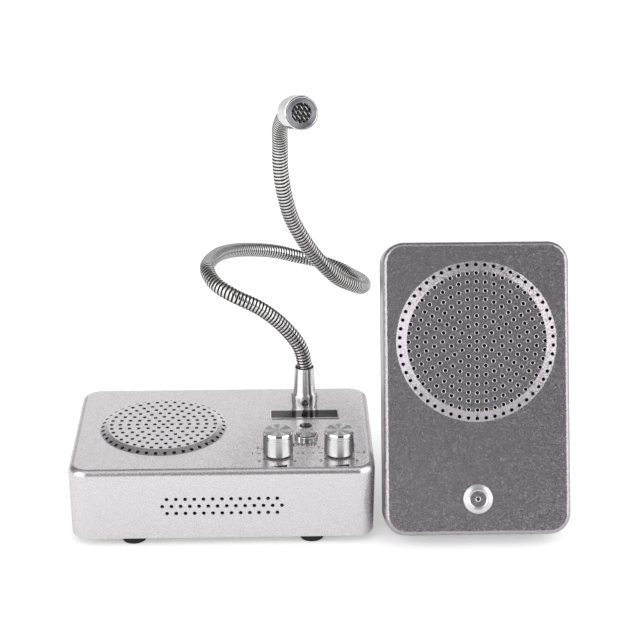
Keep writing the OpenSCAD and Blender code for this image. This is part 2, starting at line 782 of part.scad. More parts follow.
module gooseneck_ferrule() color([0.85, 0.85, 0.87]) {
    foot_r = ferrule_d / 2;
    cone_r = ferrule_cone_d / 2;
    curve = foot_r - cone_r - 0.4;
    tube_r = neck_d / 2 + 2 * seat_fit;
    stud_top = ferrule_foot_h + 1.2;
    translate(neck_foot) difference() {
        rotate_extrude($fn = 48) polygon(concat(
            [[stud_d / 2 + seat_fit, 0], [foot_r, 0], [foot_r, ferrule_foot_h - 0.4],
             [foot_r - 0.4, ferrule_foot_h]],
            [for (a = [0 : 30 : 90])
                [cone_r + curve * (1 - sin(a)), ferrule_foot_h + 2.4 * (1 - cos(a))]],
            [[ferrule_top_d / 2, ferrule_h - 0.3], [ferrule_top_d / 2 - 0.3, ferrule_h],
             [tube_r, ferrule_h], [tube_r, ferrule_h - ferrule_grip],
             [3, ferrule_h - ferrule_grip], [3, stud_top], [stud_d / 2 + seat_fit, stud_top]]));
        translate([0, 0, ferrule_foot_h / 2]) rotate([90, 0, 0]) cylinder(d = 3.2, h = foot_r + past);
    }
}

module ferrule_grub_screw() color([0.3, 0.3, 0.32]) {
    reach = ferrule_d / 2 - stud_d / 2;
    translate([neck_x, neck_y - ferrule_d / 2, top_z + ferrule_foot_h / 2]) rotate([-90, 0, 0]) difference() {
        cylinder(d = 3, h = reach);
        translate([0, 0, -past]) cylinder(d = 1.7, h = 1.4 + past, $fn = 6);
    }
}

// ---------------------------------------------------------------- gooseneck

function unit(v) = v / norm(v);
function catmull(a, b, c, d, t) = (2 * b + (c - a) * t + (2 * a - 5 * b + 4 * c - d) * t * t
    + (3 * b - a - 3 * c + d) * t * t * t) / 2;
function route_point(i) = i < 0 ? 2 * ROUTE[0] - ROUTE[1]
    : i >= len(ROUTE) ? 2 * ROUTE[len(ROUTE) - 1] - ROUTE[len(ROUTE) - 2] : ROUTE[i];
spans = len(ROUTE) - 1;
FINE = concat(
    [for (i = [0 : spans - 1], j = [0 : route_steps - 1])
        catmull(route_point(i - 1), route_point(i), route_point(i + 1), route_point(i + 2),
                j / route_steps)],
    [ROUTE[spans]]);
// Distance along the route at each fine point, then each coordinate against it
ALONG = [for (i = 0, s = 0; i < len(FINE);
    s = s + (i < len(FINE) - 1 ? norm(FINE[i + 1] - FINE[i]) : 0), i = i + 1) s];
BY_AXIS = [for (axis = [0 : 2]) [for (i = [0 : len(FINE) - 1]) [ALONG[i], FINE[i][axis]]]];
function curve_at(s) = [for (axis = [0 : 2]) lookup(s, BY_AXIS[axis])];
function curve_dir(s) = unit(curve_at(s + 1) - curve_at(s - 1));
neck_length = ALONG[len(ALONG) - 1];
// Where each link starts and ends
STOPS = concat([0], [for (b = BENDS) ALONG[b * route_steps]], [neck_length]);
// Near a bend the neck runs straight through the ball's centre
function near_bend(s) = [for (b = [1 : len(BENDS)]) if (abs(s - STOPS[b]) < straight_run) STOPS[b]];
function neck_at(s) = let (bend = near_bend(s))
    len(bend) > 0 ? curve_at(bend[0]) + (s - bend[0]) * curve_dir(bend[0]) : curve_at(s);
function neck_dir(s) = let (bend = near_bend(s))
    len(bend) > 0 ? curve_dir(bend[0])
    : s < 2 ? [0, 0, 1]
    : s > neck_length - 2 ? head_dir : curve_dir(s);
// Eight corners of a ring round the neck; a reference that the neck never runs along keeps
// the rings from turning against each other
steady = [1, 0.2, 0.9];
function ring(s, r) = let (t = neck_dir(s), u = unit(cross(steady, t)), v = cross(t, u), c = neck_at(s))
    [for (k = [0 : ring_sides - 1]) c + r * (cos(k * 360 / ring_sides) * u + sin(k * 360 / ring_sides) * v)];

// One closed skin of rings: each entry is [distance along the neck, radius]
module ring_skin(rings) {
    n = len(rings);
    points = [for (e = rings) each ring(e[0], e[1])];
    faces = [for (i = [0 : n - 1], k = [0 : ring_sides - 1])
        let (i2 = (i + 1) % n, k2 = (k + 1) % ring_sides,
             a = i * ring_sides + k, b = i * ring_sides + k2,
             c = i2 * ring_sides + k2, d = i2 * ring_sides + k)
        each [[a, d, b], [b, d, c]]];
    polyhedron(points, faces, convexity = 6);
}

// Link of the neck between two stops: a cup, ribs, and a ball for the next link's cup
module gooseneck_link(number) color([0.72, 0.72, 0.74]) {
    first = number == 1;
    last = number == len(BENDS) + 1;
    from = STOPS[number - 1] + (first ? 0 : joint_gap);
    upto = STOPS[number] - (last ? 0 : joint_gap);
    ribs = floor((upto - from) / rib_pitch);
    step = (upto - from) / (2 * ribs);
    outside = [for (i = [0 : 2 * ribs]) [from + i * step, i % 2 == 0 ? root_r : crest_r]];
    center = STOPS[number];
    ball = last ? [] : concat(
        [[upto, sqrt(ball_r * ball_r - joint_gap * joint_gap)]],
        [for (z = [0, 1.5, 2.2]) [center + z, sqrt(ball_r * ball_r - z * z)]],
        [[center + 2.2, ball_bore_r], [upto - 2, ball_bore_r]]);
    cup_center = STOPS[number - 1];
    cup = first ? [] : [for (z = [2.9, 2.2, joint_gap]) [cup_center + z, sqrt(cup_r * cup_r - z * z)]];
    bore_from = first ? from : cup_center + 2.9;
    bore_upto = last ? upto : upto - 2.6;
    bores = ceil((bore_upto - bore_from) / bore_step);
    inside = [for (i = [bores : -1 : first ? 0 : 1])
        [bore_from + i * (bore_upto - bore_from) / bores, bore_r]];
    neck_bore = first ? [] : [[cup_center + 2.9 + 0.1, bore_r]];
    translate(neck_foot) ring_skin(concat(outside, ball, inside, cup));
}

// The bends' centres and the least distance of the neck from itself, for whoever places joints
neck_samples = [for (s = [0 : 4 : neck_length]) s];
echo(bends = [for (b = BENDS) ROUTE[b] + neck_foot], neck_length = neck_length);
echo(ribs = neck_length / rib_pitch, least_gap_of_neck = min([for (a = neck_samples, b = neck_samples)
    if (b - a > 40) norm(curve_at(a) - curve_at(b))]) - neck_d);

// ---------------------------------------------------------------- microphone head

// Places a piece on the head: z runs from its back to its front
module on_head() {
    translate(neck_foot + head_foot) rotate([90 - head_tilt, 0, head_turn]) children();
}

module mic_rear_collar() color([0.84, 0.84, 0.86]) {
    fit_r = neck_d / 2 + 2 * seat_fit;
    spigot_r = head_d / 2 - head_wall - seat_fit;
    on_head() rotate_extrude($fn = 48)
        polygon([[fit_r, 0], [collar_d / 2, 0], [head_d / 2 - 0.5, collar_l - 1], [head_d / 2 - 0.5, collar_l],
                 [spigot_r, collar_l], [spigot_r, collar_l + 3], [3, collar_l + 3],
                 [3, head_sleeve + 0.1], [fit_r, head_sleeve + 0.1]]);
}

module mic_head_barrel() color([0.86, 0.86, 0.88]) {
    on_head() difference() {
        union() {
            translate([0, 0, collar_l]) cylinder(d1 = head_d - 0.6, d2 = head_d, h = 0.5, $fn = 72);
            translate([0, 0, collar_l + 0.5]) cylinder(d = head_d, h = head_l - collar_l - 1.1, $fn = 72);
            translate([0, 0, head_l - 0.6]) cylinder(d1 = head_d, d2 = head_d - 1.2, h = 0.6, $fn = 72);
        }
        translate([0, 0, collar_l - past])
            cylinder(d = head_d - 2 * head_wall, h = head_l - collar_l + 2 * past, $fn = 48);
    }
}

module mic_head_bezel() color([0.35, 0.34, 0.36]) {
    on_head() difference() {
        translate([0, 0, head_l - mesh_back + mesh_t])
            cylinder(d = head_d - 2 * head_wall - seat_fit, h = mesh_back - mesh_t - bezel_recess, $fn = 48);
        translate([0, 0, head_l - mesh_back]) cylinder(d = mesh_d, h = mesh_back + past, $fn = 48);
    }
}

module mic_head_grille() color([0.4, 0.39, 0.4]) {
    on_head() translate([0, 0, head_l - mesh_back]) difference() {
        cylinder(d = head_d - 2 * head_wall - seat_fit, h = mesh_t, $fn = 48);
        translate([0, 0, -past]) hole_rings(mesh_pitch, 3, mesh_hole_d, mesh_t + 2 * past);
    }
}

module mic_capsule() color([0.15, 0.15, 0.15]) {
    on_head() translate([0, 0, head_l - mesh_back - capsule_l]) {
        cylinder(d = head_d - 2 * head_wall - seat_fit, h = capsule_l - 1, $fn = 48);
        cylinder(d = 9, h = capsule_l);
    }
}

// ---------------------------------------------------------------- outer unit

// Stands the outer unit up: its back lies on z = 0, its bottom edge on y = 0 before
module stand_outer() {
    translate([outer_x, outer_y, 0]) rotate([90 - lean, 0, 0]) children();
}

module at_cover_posts() {
    for (x = [-cover_post[0], cover_post[0]], y = [cover_post[1], outer_h - cover_post[1]])
        translate([x, y, 0]) children();
}

module at_outer_grille(z) {
    translate([0, outer_grille_y, z]) children();
}

module outer_housing() color([0.5, 0.48, 0.49]) {
    stand_outer() difference() {
        union() {
            difference() {
                translate([0, outer_h / 2, cover_t])
                    rolled_box(outer_w, outer_h, outer_t - cover_t, outer_corner_r, outer_edge_r);
                translate([0, outer_h / 2, cover_t])
                    rolled_box(outer_w - 2 * wall, outer_h - 2 * wall, outer_in - cover_t,
                               outer_corner_r - wall, max(outer_edge_r - wall, 0.4), 0, past);
            }
            at_outer_grille(outer_t) grille_dome(outer_grille_r, outer_rim_w);
            at_outer_grille(outer_in) speaker_studs(outer_speaker_r);
            at_cover_posts() translate([0, 0, cover_t])
                cylinder(d = cover_post_d, h = outer_in - cover_t + wall / 2);
        }
        at_outer_grille(outer_in) grille_hollow(outer_grille_r, outer_rim_w);
        at_outer_grille(outer_in - past) rotate(90)
            hole_rings(outer_ring_pitch, outer_rings, outer_hole_d, wall + grille_rise + 2 * past);
        at_cover_posts() translate([0, 0, cover_t - past]) cylinder(d = cover_screw_d + 0.1, h = 10 + past);
        translate([0, outer_mic_y, outer_in - past])
            cylinder(d = mic_neck_d + 2 * seat_fit, h = wall + 2 * past);
    }
}

module outer_back_cover() color([0.2, 0.2, 0.21]) {
    ear_x = leg_w / 2 + run_fit;
    stand_outer() difference() {
        union() {
            translate([0, outer_h / 2, 0]) rounded_slab(outer_w, outer_h, cover_t, outer_corner_r);
            for (p = outer_pins) translate([p[0], p[1], cover_t / 2]) {
                cylinder(d = 5, h = cover_t / 2 + outer_board_lift);
                cylinder(d = 1.8, h = cover_t / 2 + outer_board_lift + board_t + 0.8);
            }
            // Ears of the leg's hinge
            for (s = [-1, 1]) translate([s * (ear_x + hinge_ear_w / 2), leg_hinge_y, -hinge_off])
                rotate([0, 90, 0]) {
                    cylinder(d = hinge_barrel_d, h = hinge_ear_w, center = true);
                    translate([-hinge_off - cover_t / 2, -hinge_barrel_d / 2, -hinge_ear_w / 2])
                        cube([hinge_off + cover_t / 2, hinge_barrel_d, hinge_ear_w]);
                }
        }
        translate([-leg_w, leg_hinge_y, -hinge_off]) rotate([0, 90, 0])
            cylinder(d = leg_pin_d + seat_fit, h = 2 * leg_w);
        at_cover_posts() {
            translate([0, 0, -past]) cylinder(d = cover_screw_d + 0.4, h = cover_t + 2 * past);
            translate([0, 0, -past]) cylinder(d = 5.6, h = 1.6 + past);
        }
        translate([outer_jack[0], outer_jack[1], -past])
            cylinder(d = socket_nose_d + 2 * seat_fit, h = cover_t + 2 * past);
    }
}

module outer_cover_screws() color([0.6, 0.6, 0.62]) {
    stand_outer() at_cover_posts() difference() {
        union() {
            translate([0, 0, 0.2]) cylinder(d = 5.2, h = 1.4);
            translate([0, 0, 0.2]) cylinder(d = cover_screw_d, h = cover_t + 8);
        }
        translate([0, 0, -past]) cylinder(d = 2.2, h = 1.9, $fn = 6);
    }
}

module outer_speaker_basket() color([0.25, 0.25, 0.27]) stand_outer() at_outer_grille(outer_in)
    speaker_basket(outer_speaker_r, outer_speaker_depth, outer_magnet_r - 1);

module outer_speaker_magnet() color([0.18, 0.18, 0.2]) stand_outer() at_outer_grille(outer_in)
    speaker_magnet(outer_speaker_depth, outer_magnet_r, outer_magnet_t);

module outer_speaker_cone() color([0.1, 0.1, 0.1]) stand_outer() at_outer_grille(outer_in)
    speaker_cone(outer_speaker_r, 6.5);

module outer_speaker_clips() color([0.7, 0.7, 0.72]) stand_outer() at_outer_grille(outer_in)
    speaker_clips(outer_speaker_r);

module outer_grille_cloth() color([0.08, 0.08, 0.08]) stand_outer()
    at_outer_grille(outer_in + grille_rise - cloth_t)
        cylinder(r = outer_grille_r - outer_rim_w - wall / 3 - 0.3, h = cloth_t, $fn = 48);

module outer_mic_bezel() color([0.85, 0.85, 0.87]) {
    rim = outer_mic_d / 2;
    face = mic_proud - 0.9;
    neck_bottom = -outer_t + outer_board_top + 6;
    stand_outer() translate([0, outer_mic_y, outer_t]) difference() {
        rotate_extrude($fn = 48) polygon([
            [0, face - mic_front_t], [mic_capsule_d / 2 + seat_fit, face - mic_front_t],
            [mic_capsule_d / 2 + seat_fit, neck_bottom], [mic_neck_d / 2, neck_bottom],
            [mic_neck_d / 2, 0], [rim, 0], [rim, mic_proud - 0.6], [rim - 0.3, mic_proud - 0.1],
            [rim - 0.8, mic_proud], [mic_dish_r, face], [0, face]]);
        translate([0, 0, face - mic_front_t - past]) cylinder(d = 1.7, h = mic_front_t + 2 * past);
    }
}

module outer_mic_capsule() color([0.3, 0.3, 0.32])
    stand_outer() translate([0, outer_mic_y, outer_t + mic_proud - 0.9 - mic_front_t - capsule_l])
        cylinder(d = mic_capsule_d, h = capsule_l);

module outer_board() color([0.1, 0.4, 0.2]) {
    stand_outer() difference() {
        union() {
            translate([outer_board_x[0], 8, cover_t + outer_board_lift])
                cube([outer_board_x[1] - outer_board_x[0], 32, board_t]);
            translate([0, 24, outer_board_top - board_t / 2]) cube([12, 8, 2.8]);
        }
        for (p = outer_pins) translate([p[0], p[1], cover_t]) cylinder(d = 2.2, h = outer_board_lift + board_t + past);
        at_cover_posts() translate([0, 0, cover_t]) cylinder(d = cover_post_d + 1, h = outer_board_lift + board_t + past);
    }
}

module outer_socket() color([0.1, 0.1, 0.1]) {
    stand_outer() translate([outer_jack[0], outer_jack[1], 0]) difference() {
        union() {
            translate([-6, -6, cover_t]) cube([12, 12, outer_board_lift]);
            translate([0, 0, 0.2]) cylinder(d = socket_nose_d, h = cover_t + 1);
        }
        translate([0, 0, -past]) cylinder(d = jack_bore_d, h = cover_t + outer_board_lift - 0.5 + past);
    }
}

// ---------------------------------------------------------------- fold-out leg

// Puts a piece on the open leg: z runs up along the leg, and the hinge axis is at 0
module on_leg() {
    translate(hinge_at) rotate([leg_turn, 0, 0]) children();
}

module leg_blade(grow) {
    translate([-leg_w / 2 - grow, -leg_t / 2 - grow, -leg_l - 5])
        cube([leg_w + 2 * grow, leg_t + 2 * grow, leg_l + 5]);
}

module outer_stand_leg() color([0.2, 0.2, 0.21]) {
    difference() {
        on_leg() difference() {
            union() {
                leg_blade(0);
                translate([-leg_w / 2, -leg_t / 2, -1]) cube([leg_w, leg_t, heel_l + 1]);
                rotate([0, 90, 0]) cylinder(d = hinge_barrel_d, h = leg_w, center = true);
            }
            rotate([0, 90, 0]) cylinder(d = leg_pin_d + 2 * shaft_fit, h = leg_w + 2 * past, center = true);
        }
        translate([outer_x - leg_w, hinge_at[1], leg_foot_base - 20]) cube([2 * leg_w, 60, 20]);
    }
}

module outer_stand_pin() color([0.7, 0.7, 0.72])
    translate(hinge_at) rotate([0, 90, 0])
        cylinder(d = leg_pin_d, h = leg_w + 2 * (run_fit + hinge_ear_w), center = true);

module outer_leg_foot() color([0.07, 0.07, 0.07]) {
    tip_y = hinge_at[1] + leg_l * sin(leg_turn);
    difference() {
        translate([outer_x, tip_y - leg_foot_h * tan(leg_turn) / 2, 0])
            rounded_slab(leg_w + 2.4, leg_foot_t, leg_foot_h, 1.5);
        difference() {
            on_leg() leg_blade(0.1);
            translate([outer_x - leg_w, tip_y - 20, leg_foot_base - 20]) cube([2 * leg_w, 40, 20]);
        }
    }
}

// ---------------------------------------------------------------- assembly

desk_housing();
desk_base_plate();
desk_feet();
desk_base_screws();
inner_speaker_basket();
inner_speaker_magnet();
inner_speaker_cone();
inner_speaker_clips();
inner_grille_cloth();
main_circuit_board();
amplifier_heatsink();
board_screws();
control_board();
inner_volume_pot();
outer_volume_pot();
pot_nuts();
power_button_bezel();
power_switch_body();
indicator_lens();
badge_plate();
badge_rim();
power_inlet();
audio_sockets();
gooseneck_stud();
gooseneck_nut();
gooseneck_ferrule();
ferrule_grub_screw();
inner_pot_shaft();
outer_pot_shaft();
inner_volume_knob();
outer_volume_knob();
power_button_cap();
gooseneck_link(1);  // gooseneck_link_1
gooseneck_link(2);  // gooseneck_link_2
gooseneck_link(3);  // gooseneck_link_3
gooseneck_link(4);  // gooseneck_link_4
gooseneck_link(5);  // gooseneck_link_5
gooseneck_link(6);  // gooseneck_link_6
gooseneck_link(7);  // gooseneck_link_7
gooseneck_link(8);  // gooseneck_link_8
mic_rear_collar();
mic_head_barrel();
mic_head_bezel();
mic_head_grille();
mic_capsule();
outer_housing();
outer_back_cover();
outer_cover_screws();
outer_speaker_basket();
outer_speaker_magnet();
outer_speaker_cone();
outer_speaker_clips();
outer_grille_cloth();
outer_mic_bezel();
outer_mic_capsule();
outer_board();
outer_socket();
outer_stand_leg();
outer_stand_pin();
outer_leg_foot();
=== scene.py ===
"""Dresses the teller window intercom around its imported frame.

Every piece is modelled in millimetres with Blender's own operators, set in the
row frame, and given a procedural finish. The frame is only read.
"""

from __future__ import annotations

import json
import logging
import math
from collections.abc import Callable, Iterable, Sequence
from dataclasses import dataclass
from enum import Enum

import bmesh
import bpy
import numpy as np
from mathutils import Matrix, Vector

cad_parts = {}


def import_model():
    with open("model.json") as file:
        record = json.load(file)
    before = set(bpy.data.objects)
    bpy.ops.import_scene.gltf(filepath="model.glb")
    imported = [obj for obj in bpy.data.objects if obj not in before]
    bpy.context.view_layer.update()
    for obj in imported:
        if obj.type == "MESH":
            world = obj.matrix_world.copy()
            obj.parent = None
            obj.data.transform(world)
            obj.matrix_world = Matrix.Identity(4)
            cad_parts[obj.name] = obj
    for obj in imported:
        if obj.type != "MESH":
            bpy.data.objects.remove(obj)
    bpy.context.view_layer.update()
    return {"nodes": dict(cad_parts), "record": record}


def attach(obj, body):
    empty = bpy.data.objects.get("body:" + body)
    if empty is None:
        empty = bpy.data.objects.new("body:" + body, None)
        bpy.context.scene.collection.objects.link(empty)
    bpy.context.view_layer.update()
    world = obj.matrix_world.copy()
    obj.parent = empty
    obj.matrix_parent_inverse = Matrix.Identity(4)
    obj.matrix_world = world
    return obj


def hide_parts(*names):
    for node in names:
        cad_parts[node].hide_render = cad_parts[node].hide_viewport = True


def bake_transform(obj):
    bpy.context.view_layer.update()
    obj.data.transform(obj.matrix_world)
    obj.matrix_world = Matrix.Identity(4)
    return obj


LOG = logging.getLogger("teller_intercom")
MM = 0.001
TIDY = 1e-4

# Where the desk unit's pieces stand, in millimetres.
DESK_TOP = 43.0
KNOB_XS = (28.5, 59.7)
KNOB_Y = -31.0
BUTTON_AT = (43.2, -12.1)
LENS_Y = 0.9
BADGE_AT = (42.7, 14.3)
NECK_AT = (43.0, 27.0)

# From how many degrees an edge stays sharp, and how finely a large round is turned.
TURNED_EDGE = 28.0
PRESSED_EDGE = 32.0
MOULDED_EDGE = 35.0
FINE_SIDES = 96

Point = tuple[float, float]
Spot = tuple[float, float, float]
Outline = Sequence[Point]
Stops = tuple[Point, ...]
Colour = tuple[float, float, float]
Socket = bpy.types.NodeSocket
Feeds = dict[str | int, object]


class Body(str, Enum):
    """The bodies of the frame that pieces ride on."""

    DESK = "desk_unit"
    INNER_KNOB = "inner_knob"
    OUTER_KNOB = "outer_knob"
    BUTTON = "power_button"
    MIC = "mic_arm"
    OUTER = "outer_unit"
    LEG = "stand_leg"


class Join(str, Enum):
    """Ways to combine two solids."""

    ADD = "UNION"
    CUT = "DIFFERENCE"


# ------------------------------------------------------------------ finishes


class NodeBench:
    """A node tree with short calls for adding and feeding nodes."""

    def __init__(self, tree: bpy.types.NodeTree) -> None:
        """Keeps the tree of a material, a world or a group."""
        self.tree = tree

    def feed(self, node: bpy.types.Node, feeds: Feeds) -> None:
        """Gives a node's inputs their links or values.

        Args:
            node: The node.
            feeds: A socket or a value for each input, by name or number.
        """
        for key, value in feeds.items():
            if isinstance(value, Socket):
                self.tree.links.new(value, node.inputs[key])
            else:
                node.inputs[key].default_value = value

    def add(self, kind: str, feeds: Feeds | None = None, **settings: object) -> bpy.types.Node:
        """Adds a node.

        Args:
            kind: The node's type without its ShaderNode prefix.
            feeds: What its inputs get.
            **settings: Its properties.

        Returns:
            The new node.
        """
        node = self.tree.nodes.new("ShaderNode" + kind)
        for key, value in settings.items():
            setattr(node, key, value)
        self.feed(node, feeds or {})
        return node

    def math(self, operation: str, first: object, second: object = 0.0) -> Socket:
        """Works out two sockets or numbers and returns the result's socket."""
        return self.add("Math", {0: first, 1: second}, operation=operation).outputs[0]

    def vector(self, operation: str, feeds: Feeds) -> Socket:
        """Works out vectors and returns the result's socket."""
        return self.add("VectorMath", feeds, operation=operation).outputs["Vector"]

    def mix(self, factor: object, first: object, second: object, kind: str = "FLOAT") -> Socket:
        """Mixes two levels, or two colours, and returns the result's socket."""
        feeds = {"Factor": factor, "A": first, "B": second}
        return self.add("Mix", feeds, data_type=kind).outputs["Result"]


class Effect(Enum):
    """Surface effects that several finishes share, each one node group."""

    MOULDED_GRAIN = "Moulded grain"
    METAL_FLAKE = "Metal flake"
    TURNING_MARKS = "Turning marks"

    def group(self) -> bpy.types.NodeTree:
        """Returns the effect's node group, built on first use."""
        return bpy.data.node_groups.get(self.value) or EFFECT_BUILDERS[self]()


SHARED_INPUTS: dict[str, str] = {
    "Vector": "Vector",
    "Colour Dark": "Color",
    "Colour Light": "Color",
    "Roughness Low": "Float",
    "Roughness High": "Float",
    "Relief": "Float",
}


def start_group(effect: Effect, extra: dict[str, str]) -> tuple[NodeBench, dict[str, Socket], bpy.types.Node]:
    """Starts an effect's group with its named sockets.

    Args:
        effect: The effect that the group is for.
        extra: The kinds of its inputs beside the shared ones, by name.

    Returns:
        The group's bench, its inputs by name, and the node that its results leave by.
    """
    bench = NodeBench(bpy.data.node_groups.new(effect.value, "ShaderNodeTree"))
    results = {"Colour": "Color", "Roughness": "Float", "Normal": "Vector"}
    for way, sockets in (("INPUT", {**SHARED_INPUTS, **extra}), ("OUTPUT", results)):
        for name, kind in sockets.items():
            bench.tree.interface.new_socket(name, in_out=way, socket_type="NodeSocket" + kind)
    entry = bench.tree.nodes.new("NodeGroupInput")
    return bench, entry.outputs, bench.tree.nodes.new("NodeGroupOutput")


def tone_group(bench: NodeBench, given: dict[str, Socket], leave: bpy.types.Node, mask: Socket) -> None:
    """Drives a group's colour and roughness by one mask.

    Args:
        bench: The group's bench.
        given: Its inputs.
        leave: Its output node.
        mask: The mask.
    """
    tone = bench.mix(mask, given["Colour Dark"], given["Colour Light"], "RGBA")
    feeds = {"Value": mask, "To Min": given["Roughness Low"], "To Max": given["Roughness High"]}
    bench.feed(leave, {"Colour": tone, "Roughness": bench.add("MapRange", feeds).outputs["Result"]})


def relieve_group(
    bench: NodeBench, given: dict[str, Socket], leave: bpy.types.Node, height: Socket, deep: float
) -> None:
    """Gives a group's surface its fine relief, so many metres deep at full strength."""
    feeds = {"Strength": given["Relief"], "Height": height, "Distance": deep}
    bench.feed(leave, {"Normal": bench.add("Bump", feeds).outputs["Normal"]})


def moulded_grain() -> bpy.types.NodeTree:
    """Builds the mottling in two scales and the fine relief of moulded or plated parts.

    Returns:
        The group.
    """
    bench, given, leave = start_group(Effect.MOULDED_GRAIN, {"Coarse Scale": "Float", "Fine Scale": "Float"})
    feeds = (
        {"Vector": given["Vector"], "Scale": given[name], "Detail": detail}
        for name, detail in (("Coarse Scale", 3.0), ("Fine Scale", 2.0))
    )
    coarse, fine = (bench.add("TexNoise", noise).outputs["Fac"] for noise in feeds)
    tone_group(bench, given, leave, bench.math("MULTIPLY", bench.math("ADD", coarse, fine), 0.5))
    relieve_group(bench, given, leave, fine, 0.0002)
    return bench.tree


def metal_flake() -> bpy.types.NodeTree:
    """Builds lacquer with flakes that each tilt and shine their own way.

    Returns:
        The group.
    """
    bench, given, leave = start_group(Effect.METAL_FLAKE, {"Flake Scale": "Float", "Normal": "Vector"})
    cells = {"Vector": given["Vector"], "Scale": given["Flake Scale"]}
    flakes = bench.add("TexVoronoi", cells).outputs["Color"]
    shine = bench.add("SeparateColor", {"Color": flakes}).outputs["Red"]
    clouds = {"Vector": given["Vector"], "Scale": 900.0, "Detail": 3.0}
    cloud = bench.add("TexNoise", clouds).outputs["Fac"]
    tone_group(bench, given, leave, bench.math("MULTIPLY", bench.math("ADD", shine, cloud), 0.5))
    centred = bench.vector("SUBTRACT", {0: flakes, 1: (0.5, 0.5, 0.5)})
    tilt = bench.vector("SCALE", {0: centred, "Scale": given["Relief"]})
    lean = bench.vector("ADD", {0: given["Normal"], 1: tilt})
    bench.feed(leave, {"Normal": bench.vector("NORMALIZE", {0: lean})})
    return bench.tree


def turning_marks() -> bpy.types.NodeTree:
    """Builds the fine rings that a lathe leaves round the local Z axis.

    Returns:
        The group.
    """
    bench, given, leave = start_group(Effect.TURNING_MARKS, {"Ring Scale": "Float"})
    place = bench.add("SeparateXYZ", {"Vector": given["Vector"]}).outputs
    flat = bench.add("CombineXYZ", {"X": place["X"], "Y": place["Y"]}).outputs["Vector"]
    reach = bench.add("VectorMath", {0: flat}, operation="LENGTH").outputs["Value"]
    across = bench.math("ADD", reach, place["Z"])
    marks = {"W": across, "Scale": given["Ring Scale"], "Detail": 4.0, "Roughness": 0.7}
    rings = bench.add("TexNoise", marks, noise_dimensions="1D").outputs["Fac"]
    tone_group(bench, given, leave, rings)
    relieve_group(bench, given, leave, rings, 0.0001)
    return bench.tree


EFFECT_BUILDERS: dict[Effect, Callable[[], bpy.types.NodeTree]] = {
    Effect.MOULDED_GRAIN: moulded_grain,
    Effect.METAL_FLAKE: metal_flake,
    Effect.TURNING_MARKS: turning_marks,
}


@dataclass(frozen=True)
class Finish:
    """A plain finish: two tones, a roughness range and a fine relief."""

    name: str
    dark: Colour | float
    light: Colour | float
    roughness: tuple[float, float]
    relief: float = 0.1
    metallic: float = 0.0
    coat: float = 0.0
    coat_roughness: float = 0.05
    sheen: float = 0.0
    anisotropic: float = 0.0
    axis: str = "Z"
    scales: tuple[float, ...] = (60.0, 1800.0)
    effect: Effect = Effect.MOULDED_GRAIN
    scale_names: tuple[str, ...] = ("Coarse Scale", "Fine Scale")

    def material(self, centre: Spot = (0, 0, 0), turn: Spot = (0, 0, 0)) -> bpy.types.Material:
        """Builds the finish as a material.

        Args:
            centre: Where the pattern is centred, in metres.
            turn: The pattern's Euler turn, in radians.

        Returns:
            The material, shared by every use with the same centre.
        """
        plain = not any((*centre, *turn))
        name = self.name if plain else " ".join((self.name, *(f"{value / MM:.0f}" for value in centre)))
        known = bpy.data.materials.get(name)
        if known:
            return known
        material = bpy.data.materials.new(name)
        material.use_nodes = True
        material.diffuse_color = rgba(self.light)
        bench = NodeBench(material.node_tree)
        where = bench.add("TexCoord").outputs["Object"]
        if not plain:
            mapping = {"Vector": where, "Location": centre, "Rotation": turn}
            where = bench.add("Mapping", mapping, vector_type="TEXTURE").outputs["Vector"]
        surface = bench.add("Group", node_tree=self.effect.group())
        bench.feed(surface, {"Vector": where, **self.tones()})
        if "Normal" in surface.inputs:
            bench.feed(surface, {"Normal": bench.add("NewGeometry").outputs["Normal"]})
        shader = material.node_tree.nodes["Principled BSDF"]
        for output, target in (("Colour", "Base Color"), ("Roughness", "Roughness"), ("Normal", "Normal")):
            bench.feed(shader, {target: surface.outputs[output]})
        bench.feed(shader, {"Metallic": self.metallic, "Sheen Weight": self.sheen})
        bench.feed(shader, {"Coat Weight": self.coat, "Coat Roughness": self.coat_roughness})
        bench.feed(shader, {"Anisotropic": self.anisotropic})
        if self.anisotropic:
            tangent = bench.add("Tangent", direction_type="RADIAL", axis=self.axis).outputs["Tangent"]
            bench.feed(shader, {"Anisotropic Rotation": 0.25, "Tangent": tangent})
        return material

    def tones(self) -> Feeds:
        """Returns what the effect's group is given.

        Returns:
            A value for each input.
        """
        low, high = self.roughness
        feeds = {"Colour Dark": rgba(self.dark), "Colour Light": rgba(self.light)}
        feeds |= {"Roughness Low": low, "Roughness High": high, "Relief": self.relief}
        return feeds | dict(zip(self.scale_names, self.scales))


@dataclass(frozen=True)
class Lacquer(Finish):
    """Metallic lacquer with visible flakes."""

    effect: Effect = Effect.METAL_FLAKE
    scales: tuple[float, ...] = (1900.0,)
    scale_names: tuple[str, ...] = ("Flake Scale",)


@dataclass(frozen=True)
class TurnedMetal(Finish):
    """Metal with lathe marks round its axis."""

    effect: Effect = Effect.TURNING_MARKS
    metallic: float = 1.0
    scales: tuple[float, ...] = (6000.0,)
    scale_names: tuple[str, ...] = ("Ring Scale",)


def rgba(tone: Colour | float) -> tuple[float, float, float, float]:
    """Returns a colour, or a neutral grey of that strength, as an opaque colour."""
    return (*tone, 1.0) if isinstance(tone, tuple) else (tone, tone, tone, 1.0)


